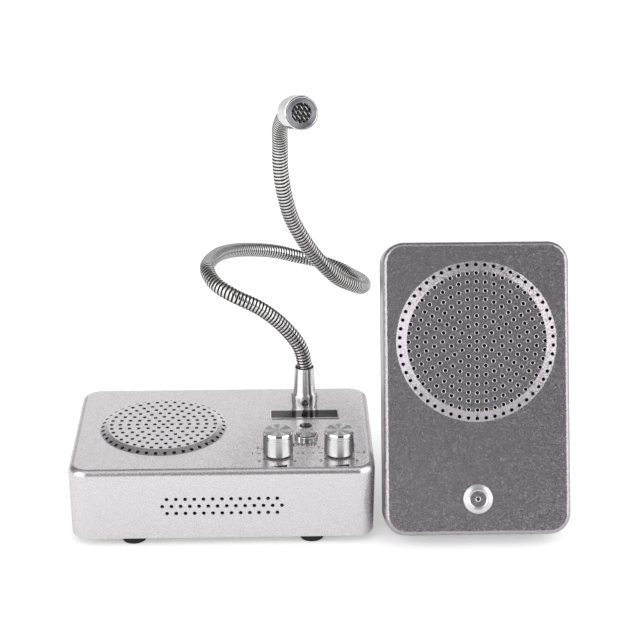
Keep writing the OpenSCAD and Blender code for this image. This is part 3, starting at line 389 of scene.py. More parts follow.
SILVER_LACQUER = Lacquer(
    "Silver lacquer", (0.735, 0.706, 0.726), (0.845, 0.815, 0.838), (0.24, 0.32), 0.08, 0.88, 0.1, 0.3
)
DARK_LACQUER = Lacquer(
    "Dark silver lacquer", (0.415, 0.385, 0.415), (0.62, 0.585, 0.62), (0.24, 0.36), 0.24, 0.96, 0.1, 0.2
)
SPUN_FACE = TurnedMetal("Spun aluminium", 0.80, 0.94, (0.38, 0.48), 0.02, anisotropic=1.0)
KNOB_SIDE = TurnedMetal("Knob side", 0.66, 0.77, (0.24, 0.34), 0.01, anisotropic=1.0)
FERRULE_STEEL = TurnedMetal("Turned ferrule", 0.88, 0.97, (0.2, 0.3), 0.01, anisotropic=1.0)
# Near-black hole walls: painted shade inside the grille's holes.
HOLE_WALL_SHADE = Finish("Punched edge", 0.01, 0.03, (0.5, 0.7), 0.1, 0.2)
CHROME = TurnedMetal("Bright chrome", 0.86, 0.97, (0.03, 0.09), 0.04)
WOUND_STEEL = Finish("Wound steel", 0.82, 0.96, (0.04, 0.1), 0.03, 1.0, scales=(150.0, 2600.0))
# Near-black steel between the neck's ribs: painted shade in the grooves.
GROOVE_SHADE = Finish(
    "Oiled groove", (0.02, 0.018, 0.017), (0.07, 0.06, 0.055), (0.3, 0.5), 0.1, 0.8, scales=(150.0, 2600.0)
)
DARK_STEEL = TurnedMetal(
    "Dark turned steel", (0.34, 0.34, 0.37), (0.5, 0.5, 0.54), (0.3, 0.42), 0.1, anisotropic=1.0, axis="Y"
)
RING_METAL = TurnedMetal("Satin ring", 0.86, 0.97, (0.3, 0.4), 0.02, anisotropic=0.9, axis="Y")
# Hole shoulders lighter than the lacquer: a painted highlight for the glint round each hole.
HOLE_RIM_HIGHLIGHT = Finish("Pressed hole edge", 0.8, 0.93, (0.24, 0.34), 0.05, 0.9)
# One dark steel wire in two tones: a darker copy beneath as painted shade, a lighter copy on top as painted
# highlight.
SHADED_WEFT_WIRE = Finish("Dark mesh wire", 0.10, 0.22, (0.2, 0.35), 0.1, 1.0, scales=(300.0, 3000.0))
LIT_WARP_WIRE = Finish("Mesh wire", 0.75, 0.95, (0.12, 0.25), 0.1, 1.0, scales=(300.0, 3000.0))
RUBBER = Finish("Black rubber", 0.008, 0.02, (0.6, 0.85), 0.4, scales=(90.0, 2400.0))
BLACK_GLOSS = Finish("Black gloss", 0.006, 0.012, (0.08, 0.12), 0.01)
SMOKED_LENS = Finish("Smoked lens", (0.008, 0.004, 0.004), (0.016, 0.008, 0.008), (0.05, 0.1), 0.01, coat=0.3)
PRINT_INK = Finish("Dark print", 0.01, 0.02, (0.6, 0.7), 0.02)

CAD_FINISHES: dict[str, Finish] = {
    "silver_paint": SILVER_LACQUER,
    "dark_silver_paint": DARK_LACQUER,
    "zinc_plate": Finish("Zinc plate", (0.42, 0.42, 0.4), (0.62, 0.62, 0.6), (0.3, 0.5), 0.15, 1.0),
    "screw_steel": Finish("Screw steel", 0.45, 0.68, (0.2, 0.35), 0.1, 1.0),
    "black_rubber": RUBBER,
    "basket_steel": Finish("Basket steel", 0.03, 0.06, (0.35, 0.5), 0.15, 0.4),
    "magnet_ferrite": Finish("Ferrite", 0.05, 0.1, (0.5, 0.7), 0.3),
    "cone_paper": Finish("Cone paper", 0.02, 0.05, (0.7, 0.9), 0.5),
    "grille_cloth": Finish(
        "Acoustic cloth", 0.004, 0.012, (0.85, 1.0), 0.8, sheen=0.1, scales=(80.0, 3500.0)
    ),
    "circuit_board": Finish("Circuit board", (0.01, 0.07, 0.03), (0.02, 0.13, 0.05), (0.3, 0.45), 0.1),
    "heatsink_aluminium": Finish("Finned aluminium", 0.5, 0.7, (0.3, 0.45), 0.15, 1.0),
    "pot_metal": Finish("Nickel plate", 0.55, 0.75, (0.2, 0.35), 0.1, 1.0),
    "spun_aluminium": SPUN_FACE,
    "bright_chrome": CHROME,
    "dark_steel": DARK_STEEL,
    "black_plastic": Finish("Moulded black", 0.012, 0.028, (0.35, 0.5), 0.2),
    "smoked_lens": SMOKED_LENS,
    "black_gloss": BLACK_GLOSS,
    "black_paint": Finish(
        "Textured black lacquer", 0.014, 0.035, (0.4, 0.6), 0.5, 0.1, scales=(70.0, 1400.0)
    ),
    "ribbed_steel": WOUND_STEEL,
}


# ------------------------------------------------------------------ the bench


def clear_selection() -> None:
    """Deselects every object, so an operator acts on new work only."""
    bpy.ops.object.select_all(action="DESELECT")


def edit_mode(on: bool = True) -> None:
    """Goes into the active object's edit mode, or out of it."""
    bpy.ops.object.mode_set(mode="EDIT" if on else "OBJECT")


def select_all() -> None:
    """Selects the whole mesh in edit mode."""
    bpy.ops.mesh.select_all(action="SELECT")


def extrude(step: Sequence[float]) -> None:
    """Extrudes what is selected by a step."""
    bpy.ops.mesh.extrude_region_move(TRANSFORM_OT_translate={"value": step})


def shift(x: float, y: float, z: float = 0.0) -> Matrix:
    """Returns a placing that far along each axis."""
    return Matrix.Translation((x, y, z))


def spin(degrees: float, axis: str) -> Matrix:
    """Returns a turn round an axis."""
    return Matrix.Rotation(math.radians(degrees), 4, axis)


def pattern_at(place: Matrix) -> dict[str, Sequence[float]]:
    """Returns the centre and turn of a finish that follows a placing."""
    return {"centre": tuple(place.translation * MM), "turn": tuple(place.to_euler("XYZ"))}


class Piece:
    """A mesh on the bench, in millimetres, shaped with operators as by hand."""

    def __init__(self, name: str) -> None:
        """Takes over the object that was just added.

        Args:
            name: Its name.
        """
        self.obj: bpy.types.Object = bpy.context.object
        self.obj.name = self.obj.data.name = name
        bpy.ops.object.transform_apply(location=True, rotation=True, scale=True)

    def hold(self) -> None:
        """Makes the piece the only selected and active object."""
        clear_selection()
        self.obj.select_set(True)
        bpy.context.view_layer.objects.active = self.obj

    def pick(self, mode: str, wanted: Callable[[Vector, Vector], bool]) -> None:
        """Selects faces or edges in edit mode.

        Args:
            mode: FACE or EDGE.
            wanted: Says by a face's middle and normal, or by an edge's ends, whether it's wanted.
        """
        bpy.ops.mesh.select_mode(type=mode)
        shape = bmesh.from_edit_mesh(self.obj.data)
        for face in shape.faces if mode == "FACE" else ():
            face.select_set(wanted(face.calc_center_median(), face.normal))
        for edge in shape.edges if mode == "EDGE" else ():
            edge.select_set(wanted(edge.verts[0].co, edge.verts[1].co))
        shape.select_flush_mode()
        bmesh.update_edit_mesh(self.obj.data)

    def faces(self, wanted: Callable[[bpy.types.MeshPolygon], bool]) -> list[int]:
        """Lists the numbers of the wanted faces."""
        return [face.index for face in self.obj.data.polygons if wanted(face)]

    def apply(self, kind: str, **settings: object) -> Piece:
        """Adds a modifier and applies it.

        Args:
            kind: The modifier's type.
            **settings: Its properties.

        Returns:
            The piece.
        """
        self.hold()
        modifier = self.obj.modifiers.new(kind.title(), kind)
        for key, value in settings.items():
            setattr(modifier, key, value)
        bpy.ops.object.modifier_apply(modifier=modifier.name)
        return self

    def soften(self, width: float, segments: int) -> Piece:
        """Rounds every edge sharper than 50 degrees and returns the piece."""
        limit = math.radians(50)
        return self.apply("BEVEL", width=width, segments=segments, limit_method="ANGLE", angle_limit=limit)

    def combine(self, other: Piece, how: Join) -> Piece:
        """Adds or cuts another solid.

        Args:
            other: The other solid, which is used up.
            how: Whether it's added or cut.

        Returns:
            The piece.
        """
        self.apply("BOOLEAN", object=other.obj, operation=how.value, solver="EXACT")
        bpy.data.objects.remove(other.obj)
        return self

    def copies(self, places: Iterable[Matrix]) -> Piece:
        """Copies the piece to each place, removes the first and joins the copies.

        Args:
            places: Where each copy goes.

        Returns:
            The joined piece.
        """
        made = []
        for place in places:
            twin = self.obj.copy()
            twin.data = self.obj.data.copy()
            twin.data.transform(place)
            bpy.context.scene.collection.objects.link(twin)
            made.append(twin)
        name = self.obj.name
        bpy.data.objects.remove(self.obj)
        return joined(name, made)

    def placed(self, place: Matrix) -> Piece:
        """Moves the mesh, still in millimetres, and returns the piece."""
        self.obj.data.transform(place)
        return self

    def outward(self) -> Piece:
        """Welds doubles and turns every face outwards.

        Returns:
            The piece.
        """
        self.hold()
        edit_mode()
        select_all()
        bpy.ops.mesh.remove_doubles(threshold=TIDY)
        bpy.ops.mesh.normals_make_consistent(inside=False)
        edit_mode(False)
        return self

    def smooth(self, angle: float, weighted: bool = False) -> Piece:
        """Shades smooth across all but sharp edges.

        Args:
            angle: From how many degrees an edge is sharp.
            weighted: True if large faces keep their own normals.

        Returns:
            The piece.
        """
        self.hold()
        bpy.ops.object.shade_smooth_by_angle(angle=math.radians(angle))
        if weighted:
            self.apply("WEIGHTED_NORMAL", keep_sharp=True, weight=80)
        return self

    def dress(self, finish: Finish, slot: str, **pattern: Sequence[float]) -> Piece:
        """Gives the piece its finish and brings it to metres.

        Args:
            finish: The finish.
            slot: The record's material slot; not used.
            **pattern: The finish's centre and turn.

        Returns:
            The piece.
        """
        self.obj.data.transform(Matrix.Scale(MM, 4))
        self.obj.data.materials.clear()
        self.obj.data.materials.append(finish.material(**pattern))
        return self

    def also(self, finish: Finish, faces: Iterable[int], **pattern: Sequence[float]) -> Piece:
        """Gives some faces of a dressed piece another finish.

        Args:
            finish: The other finish.
            faces: The faces' numbers.
            **pattern: The finish's centre and turn.

        Returns:
            The piece.
        """
        self.obj.data.materials.append(finish.material(**pattern))
        for index in faces:
            self.obj.data.polygons[index].material_index = len(self.obj.data.materials) - 1
        return self

    def mount(self, body: str, *nodes: str) -> Piece:
        """Rides the piece on a body, in place of CAD nodes, and reports it.

        Args:
            body: The body's name.
            *nodes: The CAD nodes that the piece stands for.

        Returns:
            The piece.
        """
        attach(self.obj, body)
        if nodes:
            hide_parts(*nodes)
        LOG.info("%s: %d faces on %s", self.obj.name, len(self.obj.data.polygons), body)
        return self


def joined(name: str, parts: Sequence[bpy.types.Object]) -> Piece:
    """Joins objects into one piece.

    Args:
        name: Its name.
        parts: The objects.

    Returns:
        The piece.
    """
    clear_selection()
    for part in parts:
        part.select_set(True)
    bpy.context.view_layer.objects.active = parts[0]
    bpy.ops.object.join()
    return Piece(name)


def turned(name: str, outline: Outline, sides: int = 64, hollow: bool = False) -> Piece:
    """Turns an outline round Z, ring by ring, as on a lathe.

    Args:
        name: Its name.
        outline: Pairs of radius and height. Only the last radius may be 0.
        sides: Faces round the axis.
        hollow: True if the last ring meets the first.

    Returns:
        The closed piece.
    """
    clear_selection()
    radius, height = outline[0]
    bpy.ops.mesh.primitive_circle_add(vertices=sides, radius=radius, location=(0, 0, height))
    piece = Piece(name)
    edit_mode()
    select_all()
    rings = [*outline[1:], outline[0]] if hollow else outline[1:]
    for next_radius, next_height in rings:
        extrude((0, 0, next_height - height))
        factor = next_radius / radius
        bpy.ops.transform.resize(value=(factor, factor, 1), center_override=(0, 0, next_height))
        radius, height = next_radius, next_height
    select_all()
    bpy.ops.mesh.remove_doubles(threshold=TIDY)
    select_all()
    bpy.ops.mesh.fill_holes(sides=0)
    edit_mode(False)
    return piece.outward()


def slab(name: str, size: Spot, centre: Spot, corner: float = 0.0, segments: int = 5) -> Piece:
    """Cuts a block with round upright corners.

    Args:
        name: Its name.
        size: Its width, depth and height.
        centre: Its middle.
        corner: The radius of its upright corners.
        segments: Faces on each corner.

    Returns:
        The block.
    """
    clear_selection()
    bpy.ops.mesh.primitive_cube_add(size=1, location=centre)
    bpy.context.object.scale = size
    piece = Piece(name)
    if corner:
        edit_mode()
        piece.pick("EDGE", lambda a, b: abs(a.z - b.z) > size[2] / 2)
        bpy.ops.mesh.bevel(offset=corner, segments=segments, affect="EDGES")
        edit_mode(False)
    return piece


def drill(radius: float, low: float, high: float, sides: int = 32) -> Piece:
    """Makes a plain round cutter that stands on Z."""
    return turned("drill", [(radius, low), (radius, high), (0, high)], sides)


def arc(middle: Point, radius: float, start: float, stop: float, steps: int) -> list[Point]:
    """Returns points for an outline on an arc from one angle to another, in degrees."""
    angles = [math.radians(start + (stop - start) * k / steps) for k in range(steps + 1)]
    return [(middle[0] + radius * math.cos(a), middle[1] + radius * math.sin(a)) for a in angles]


def ring_places(pitch: float, rings: int, turn: float) -> list[Point]:
    """Lays out a middle point and rings of six more each round it.

    Args:
        pitch: How far the rings are apart.
        rings: How many rings.
        turn: The pattern's turn, in degrees.

    Returns:
        The points.
    """
    places = [(0.0, 0.0)]
    for ring in range(1, rings + 1):
        for k in range(6 * ring):
            angle = math.radians(60 * k / ring + turn)
            places.append((ring * pitch * math.cos(angle), ring * pitch * math.sin(angle)))
    return places


def lettering(name: str, words: Sequence[tuple[str, float, float]], size: float, narrow: float = 0.8) -> Piece:
    """Prints short words flat on the desk unit's top.

    Args:
        name: Its name.
        words: Each word with the x and y of its middle.
        size: Letter height, about.
        narrow: Letter width, as a share of the plain font's.

    Returns:
        The print as one mesh.
    """
    parts = []
    for word, x, y in words:
        clear_selection()
        bpy.ops.object.text_add(location=(x, y, DESK_TOP))
        text = bpy.context.object
        text.scale.x = narrow
        font = text.data
        font.body, font.size, font.resolution_u = word, size, 3
        font.align_x = font.align_y = "CENTER"
        font.extrude, font.offset = 0.03, 0.035
        bpy.ops.object.convert(target="MESH")
        bpy.ops.object.transform_apply(location=True, rotation=True, scale=True)
        parts.append(bpy.context.object)
    return joined(name, parts)


# ------------------------------------------------------------------ pressed housings


@dataclass(frozen=True)
class PressedHousing:
    """A housing pressed from sheet steel, with a raised round grille."""

    name: str
    node: str
    slot: str
    width: float
    depth: float
    height: float
    corner: float
    edge: float
    grille: Point
    grille_radius: float
    rim: float
    pitch: float
    rings: int
    hole: float
    wall: float = 1.6
    draft: float = 0.0
    rise: float = 1.7
    hole_sides: int = 16
    hole_turn: float = 0.0
    shoulder: Point = (0.24, 0.18)
    drill: float = 4.0
    round_steps: int = 14
    edge_steps: int = 6

    def shell(self) -> Piece:
        """Presses the open box, its bottom edge at z = 0.

        Returns:
            The box.
        """
        size = (self.width, self.depth, self.height)
        box = slab(self.name, size, (0, 0, self.height / 2), self.corner, self.round_steps)
        edit_mode()
        box.pick("EDGE", lambda a, b: min(a.z, b.z) > self.height - TIDY)
        bpy.ops.mesh.bevel(offset=self.edge, segments=self.edge_steps, affect="EDGES")
        box.pick("FACE", lambda middle, normal: normal.z < -0.9)
        bpy.ops.mesh.delete(type="ONLY_FACE")
        box.pick("EDGE", lambda a, b: max(a.z, b.z) < TIDY)
        pull = [1 - 2 * self.draft / side for side in (self.width, self.depth)]
        bpy.ops.transform.resize(value=(*pull, 1), center_override=(0, 0, 0))
        edit_mode(False)
        return box.apply("SOLIDIFY", thickness=self.wall, offset=-1, use_even_offset=True)

    def raised_grille(self) -> Piece:
        """Turns the raised disc that is welded into the shell's top.

        Returns:
            The disc.
        """
        top, rise, soft = self.height, self.rise, 1.6
        outer, inner = self.grille_radius, self.grille_radius - self.rim
        slope = math.degrees(math.atan2(rise, self.rim))
        bend = soft * math.tan(math.radians(slope / 2))
        out, up = (bend * way(math.radians(slope)) for way in (math.cos, math.sin))
        outline = [
            (outer + bend, top - self.wall * 0.7), (outer + bend, top - 0.02),
            (outer + bend * 0.35, top + bend * 0.1), (outer - out * 0.6, top + up * 0.75),
            (inner + out, top + rise - up), (inner + out * 0.35, top + rise - up * 0.22),
            (inner - bend, top + rise), (0.0, top + rise),
        ]
        return turned(self.name + "_grille", outline, FINE_SIDES)

    def grille_hollow(self) -> Piece:
        """Turns the space behind the raised disc.

        Returns:
            The cutter.
        """
        top = self.height - self.wall
        outer, inner = self.grille_radius - self.wall, self.grille_radius - self.rim - self.wall / 3
        outline = [(outer, top - 2.0), (outer, top), (inner, top + self.rise), (0.0, top + self.rise)]
        return turned(self.name + "_hollow", outline, FINE_SIDES)

    def hole_cutter(self) -> Piece:
        """Turns one drill with a slightly dished shoulder, copied to every hole.

        Returns:
            The cutter.
        """
        top, radius = self.height + self.rise, self.hole / 2
        wide, deep = self.shoulder
        outline = [(radius, top - self.drill), (radius, top - deep)]
        outline += [(radius + wide, top), (radius + wide, top + 1), (0.0, top + 1)]
        places = ring_places(self.pitch, self.rings, self.hole_turn)
        first = turned(self.name + "_drill", outline, self.hole_sides)
        return first.copies(shift(*place) for place in places)

    def punched_faces(self, housing: Piece) -> tuple[list[int], list[int]]:
        """Finds what the drills left in the grille.

        Args:
            housing: The housing, before it's placed.

        Returns:
            The faces of the holes' walls, and of the shoulders above them.
        """
        holes = np.array(ring_places(self.pitch, self.rings, self.hole_turn)) + np.array(self.grille)
        wide, deep = self.shoulder
        top, radius = self.height + self.rise, self.hole / 2
        level, leaning, upright, slack, edge = 0.98, (0.5, 0.95), 0.3, 0.05, 0.02
        walls, shoulders = [], []
        for face in housing.obj.data.polygons:
            (x, y, z), up = face.center, face.normal.z
            if up > level or not top - self.drill < z < top:
                continue
            far = np.hypot(*(holes - (x, y)).T).min()
            if abs(up) < upright and z < top - deep + slack and far < radius + slack:
                walls.append(face.index)
            elif leaning[0] < up < leaning[1] and z > top - deep - edge and far < radius + wide:
                shoulders.append(face.index)
        return walls, shoulders

    def build(self, openings: Iterable[Piece], place: Matrix, lacquer: Finish, body: Body) -> None:
        """Presses, cuts, lacquers and mounts the housing.

        Args:
            openings: Cutters of this housing's own openings.
            place: Where its bottom edge goes.
            lacquer: Its finish.
            body: What it rides on.
        """
        at_grille = shift(*self.grille)
        housing = self.shell().combine(self.raised_grille().placed(at_grille), Join.ADD)
        housing.combine(self.grille_hollow().placed(at_grille), Join.CUT)
        housing.combine(self.hole_cutter().placed(at_grille), Join.CUT)
        for opening in openings:
            housing.combine(opening, Join.CUT)
        housing.smooth(PRESSED_EDGE, weighted=True)
        walls, shoulders = self.punched_faces(housing)
        housing.placed(place).dress(lacquer, self.slot)
        # Hole walls get near-black painted shade; the shoulders above them get a lighter painted highlight.
        housing.also(HOLE_WALL_SHADE, walls).also(HOLE_RIM_HIGHLIGHT, shoulders).mount(body, self.node)


DESK_CASE = PressedHousing(
    "desk_case", "desk_housing", "silver_paint", width=155.0, depth=100.0, height=38.0, corner=10.0, edge=3.6,
    grille=(-31.5, 1.0), grille_radius=33.2, rim=4.4, pitch=4.53, rings=7, hole=2.0, draft=0.5,
    shoulder=(0.2, 0.12),
)
OUTER_CASE = PressedHousing(
    "outer_case", "outer_housing", "dark_silver_paint", width=94.0, depth=148.0, height=23.0, corner=10.7,
    edge=2.3, grille=(0.0, 23.7), grille_radius=40.5, rim=5.3, pitch=4.31, rings=9, hole=1.9, hole_sides=14,
    hole_turn=90.0,
)


# ------------------------------------------------------------------ desk unit


@dataclass
class DeskUnit:
    """The staff side's housing with its feet and prints."""

    foot_height: float = 5.0
    foot_span: Point = (91.0, 81.0)
    foot_radius: float = 6.3
    vent_pitch: Point = (4.64, 4.03)
    vent_radius: float = 1.0
    vent_height: float = 18.2
    vent_rows: tuple[int, ...] = (13, 14, 13)
    top_drills: tuple[Spot, ...] = (
        *((x, KNOB_Y, 3.95) for x in KNOB_XS), (*BUTTON_AT, 5.9), (*NECK_AT, 4.65),
    )
    lens_hole: Spot = (6.5, 5.1, 6.0)
    badge_hole: Spot = (37.1, 10.7, 1.0)
    sockets: tuple[float, ...] = (1.0, 18.0, 35.0)
    socket_height: float = 12.7
    socket_radius: float = 4.15
    dial: tuple[Point, ...] = (
        (222, 12.9), (180, 13.1), (148, 12.2), (90, 12.4), (48, 11.8), (0, 12.6), (-46, 12.6),
    )
    tick: Spot = (1.8, 0.5, 0.03)
    tick_reach: float = 9.6
    wedge_size: Spot = (9.0, 2.6, 0.03)
    wedge_y: float = -45.2
    wedge_tip: float = 0.12
    words: tuple[tuple[str, float, float], ...] = (("ON/OFF", 42.3, -21.4),)
    housing: PressedHousing = DESK_CASE

    def vent_cutter(self) -> Piece:
        """Copies one drill to every front vent hole.

        Returns:
            The cutter.
        """
        radius, (across, up) = self.vent_radius, self.vent_pitch
        outline = [(radius, -4.0), (radius, 0.0), (radius + 0.35, 0.55), (radius + 0.35, 1.5), (0, 1.5)]
        front = 0.15 - self.housing.depth / 2
        places = [
            shift((k - (holes - 1) / 2) * across, front, self.vent_height + (row - 1) * up)
            for row, holes in enumerate(self.vent_rows)
            for k in range(holes)
        ]
        return turned("vent_drill", outline, 16).placed(spin(90, "X")).copies(places)

    def openings(self) -> list[Piece]:
        """Makes what cuts the vents and the places of knobs, button, neck, lens, strip and sockets.

        Returns:
            The cutters.
        """
        top = self.housing.height
        cutters = [self.vent_cutter()]
        for x, y, radius in self.top_drills:
            cutters.append(drill(radius, top - 4, top + 2).placed(shift(x, y)))
        cutters.append(slab("lens_cut", self.lens_hole, (BUTTON_AT[0], LENS_Y, top), 2.5, 8))
        cutters.append(slab("badge_cut", self.badge_hole, (*BADGE_AT, top), 1.1))
        for x in self.sockets:
            place = shift(x, self.housing.depth / 2, self.socket_height)
            cutters.append(drill(self.socket_radius, -3.0, 3.0).placed(spin(-90, "X")).placed(place))
        return cutters

    def build_feet(self) -> None:
        """Moulds one foot with a rounded edge and copies it to the corners."""
        radius, (across, deep) = self.foot_radius, self.foot_span
        outline = [
            (3.5, 0.0), (radius - 0.9, 0.0), (radius - 0.35, 0.25), (radius - 0.1, 0.8), (radius, 1.4),
            (radius, self.foot_height), (1.7, self.foot_height), (1.7, 2.5), (3.5, 2.5),
        ]
        places = [shift(x * across / 2, y * deep / 2) for x in (-1, 1) for y in (-1, 1)]
        feet = turned("desk_rubber_feet", outline, 48, hollow=True).copies(places).smooth(40)
        feet.dress(RUBBER, "black_rubber").mount(Body.DESK, "desk_feet")

    def build_print(self) -> None:
        """Prints the dials' numbers and ticks, the wedges and the switch words."""
        numbers, marks = [], []
        for x in KNOB_XS:
            for number, (degrees, far) in enumerate(self.dial):
                angle = math.radians(degrees)
                numbers.append((str(number), x + far * math.cos(angle), KNOB_Y + far * math.sin(angle)))
                tick = slab("tick", self.tick, (self.tick_reach, 0, DESK_TOP))
                marks.append(tick.placed(shift(x, KNOB_Y) @ spin(degrees, "Z")).obj)
            marks.append(self.wedge(x).obj)
        for prints in (
            lettering("dial_numbers", numbers, 3.6),
            joined("dial_marks", marks),
            lettering("switch_words", self.words, 4.8, 0.72),
        ):
            prints.dress(PRINT_INK, "black_plastic").mount(Body.DESK)

    def wedge(self, x: float) -> Piece:
        """Prints a wedge that grows to the right, for more volume.

        Args:
            x: Its middle.

        Returns:
            The wedge.
        """
        wedge = slab("wedge", self.wedge_size, (x, self.wedge_y, DESK_TOP))
        tip = (x - self.wedge_size[0] / 2, self.wedge_y - 0.9, DESK_TOP)
        edit_mode()
        wedge.pick("EDGE", lambda a, b: max(a.x, b.x) < x)
        bpy.ops.transform.resize(value=(1, self.wedge_tip, 1), center_override=tip)
        edit_mode(False)
        return wedge

    def build(self) -> None:
        """Builds the desk unit's own pieces."""
        self.housing.build(self.openings(), shift(0, 0, self.foot_height), SILVER_LACQUER, Body.DESK)
        self.build_feet()
        self.build_print()


@dataclass
class VolumeKnob:
    """A turned knob with a spun face and two grooves."""

    name: str
    node: str
    body: Body
    x: float
    y: float = KNOB_Y
    bottom: float = DESK_TOP + 1.0
    height: float = 12.0
    radius: float = 7.75
    top_radius: float = 7.55
    grooves: tuple[float, ...] = (1.6, 2.9)
    groove_width: float = 0.55
    groove_depth: float = 0.42
    chamfer: float = 0.5
    chamfer_depth: float = 0.95

    def outline(self) -> list[Point]:
        """Draws what the lathe follows.

        Returns:
            The outline, from the recess underneath to the top's edge.
        """
        top, wide, low, half = self.height, self.top_radius, self.radius, self.groove_width / 2
        side, deep, rim = top - self.chamfer_depth, wide - self.groove_depth, wide - self.chamfer
        points = [(6.2, 3.0), (6.2, 0.0), (low - 0.3, 0.0), (low - 0.08, 0.08), (low, 0.3)]
        for back in sorted(self.grooves, reverse=True):
            z = top - back
            points += [(wide, z - half - 0.06), (wide - 0.06, z - half), (deep, z - half + 0.05)]
            points += [(deep, z + half - 0.05), (wide - 0.06, z + half), (wide, z + half + 0.06)]
        return [*points, (wide, side - 0.08), (wide - 0.05, side), (rim + 0.1, top - 0.08), (rim, top)]

    def is_cut(self, face: bpy.types.MeshPolygon) -> bool:
        """Tells whether a dressed knob's face is in a groove or the chamfer.

        Args:
            face: The face.

        Returns:
            True if it is.
        """
        x, y, z = face.center / MM
        inside = math.hypot(x - self.x, y - self.y) < self.top_radius - 0.03
        up = face.normal.z
        return z - self.bottom > self.height - 4 and (inside or abs(up) > 0.3) and up < 0.99

    def build(self) -> None:
        """Turns the knob in three finishes: brushed side, spun face, polished cuts."""
        tip = self.top_radius - self.chamfer - 0.15
        outline = [*self.outline(), (tip, self.height), (0.0, self.height - 0.02)]
        side = turned(self.name + "_side", outline, FINE_SIDES)
        side.smooth(TURNED_EDGE, weighted=True).placed(shift(self.x, self.y, self.bottom))
        centre = (self.x * MM, self.y * MM, 0)
        side.dress(KNOB_SIDE, "spun_aluminium", centre=centre)
        face_height = (self.bottom + self.height - 0.2) * MM
        top = side.faces(lambda face: face.center.z > face_height and face.normal.z > 0.99)
        side.also(SPUN_FACE, top, centre=centre).also(CHROME, side.faces(self.is_cut), centre=centre)
        side.mount(self.body, self.node)


@dataclass
class PowerButton:
    """The push button, its raised ring and the indicator window."""

    place: Spot = (*BUTTON_AT, DESK_TOP)
    lens: Spot = (BUTTON_AT[0], LENS_Y, DESK_TOP - 0.55)

    def build(self) -> None:
        """Turns the ring and button and moulds the lens."""
        at, centre = shift(*self.place), (self.place[0] * MM, self.place[1] * MM, 0)
        dome = arc((5.65, 1.45), 0.55, 0, 90, 5)
        ring = [(5.3, -2.4), (5.75, -2.4), (5.75, 0.0), (6.2, 0.0), *dome, (5.45, 1.97), (5.3, 1.8)]
        bezel = turned("button_ring", ring, 72, hollow=True).smooth(MOULDED_EDGE).placed(at)
        bezel.dress(CHROME, "bright_chrome", centre=centre).mount(Body.DESK, "power_button_bezel")
        outline = [(2.0, -5.8), (2.0, -1.6), (5.1, -1.6), (5.1, 2.2), (5.02, 2.38)]
        outline += [(4.2, 2.8), (3.9, 2.88), (3.5, 2.9), (0.0, 2.82)]
        cap = turned("button_cap", outline, 72)
        # The cap's side faces are painted black: painted shade for the dark gap between cap and ring.
        sides = cap.faces(lambda face: abs(face.normal.z) < 0.3 and face.center.z > -0.5)
        cap.smooth(TURNED_EDGE).placed(at).dress(SPUN_FACE, "spun_aluminium", centre=centre)
        cap.also(BLACK_GLOSS, sides).mount(Body.BUTTON, "power_button_cap")
        lens = slab("indicator_window", (6.2, 4.8, 2.1), self.lens, 2.38, 10)
        lens.soften(0.35, 4).smooth(MOULDED_EDGE)
        lens.dress(SMOKED_LENS, "smoked_lens").mount(Body.DESK, "indicator_lens")


@dataclass
class Badge:
    """The bare black strip in its bright rim."""

    width: float = 36.8
    depth: float = 10.4
    rim: float = 0.7
    proud: float = 0.45
    bottom: float = DESK_TOP - 0.5
    play: float = 0.1

    def build(self) -> None:
        """Makes the rim and the plate."""
        tall = DESK_TOP + self.proud - self.bottom
        middle = (*BADGE_AT, self.bottom + tall / 2)
        wide, deep = self.width - 2 * self.rim, self.depth - 2 * self.rim
        rim = slab("badge_bright_rim", (self.width, self.depth, tall), middle, 1.0, 6)
        rim.combine(slab("badge_hole", (wide, deep, 3), middle, 0.5), Join.CUT)
        rim.soften(0.15, 3).smooth(MOULDED_EDGE, weighted=True)
        rim.dress(CHROME, "bright_chrome").mount(Body.DESK, "badge_rim")
        size = (wide - self.play, deep - self.play, tall - 0.15)
        plate = slab("badge_gloss_plate", size, (*BADGE_AT, self.bottom + size[2] / 2), 0.45).soften(0.1, 2)
        plate.smooth(MOULDED_EDGE, weighted=True)
        plate.dress(BLACK_GLOSS, "black_gloss").mount(Body.DESK, "badge_plate")


# ------------------------------------------------------------------ gooseneck


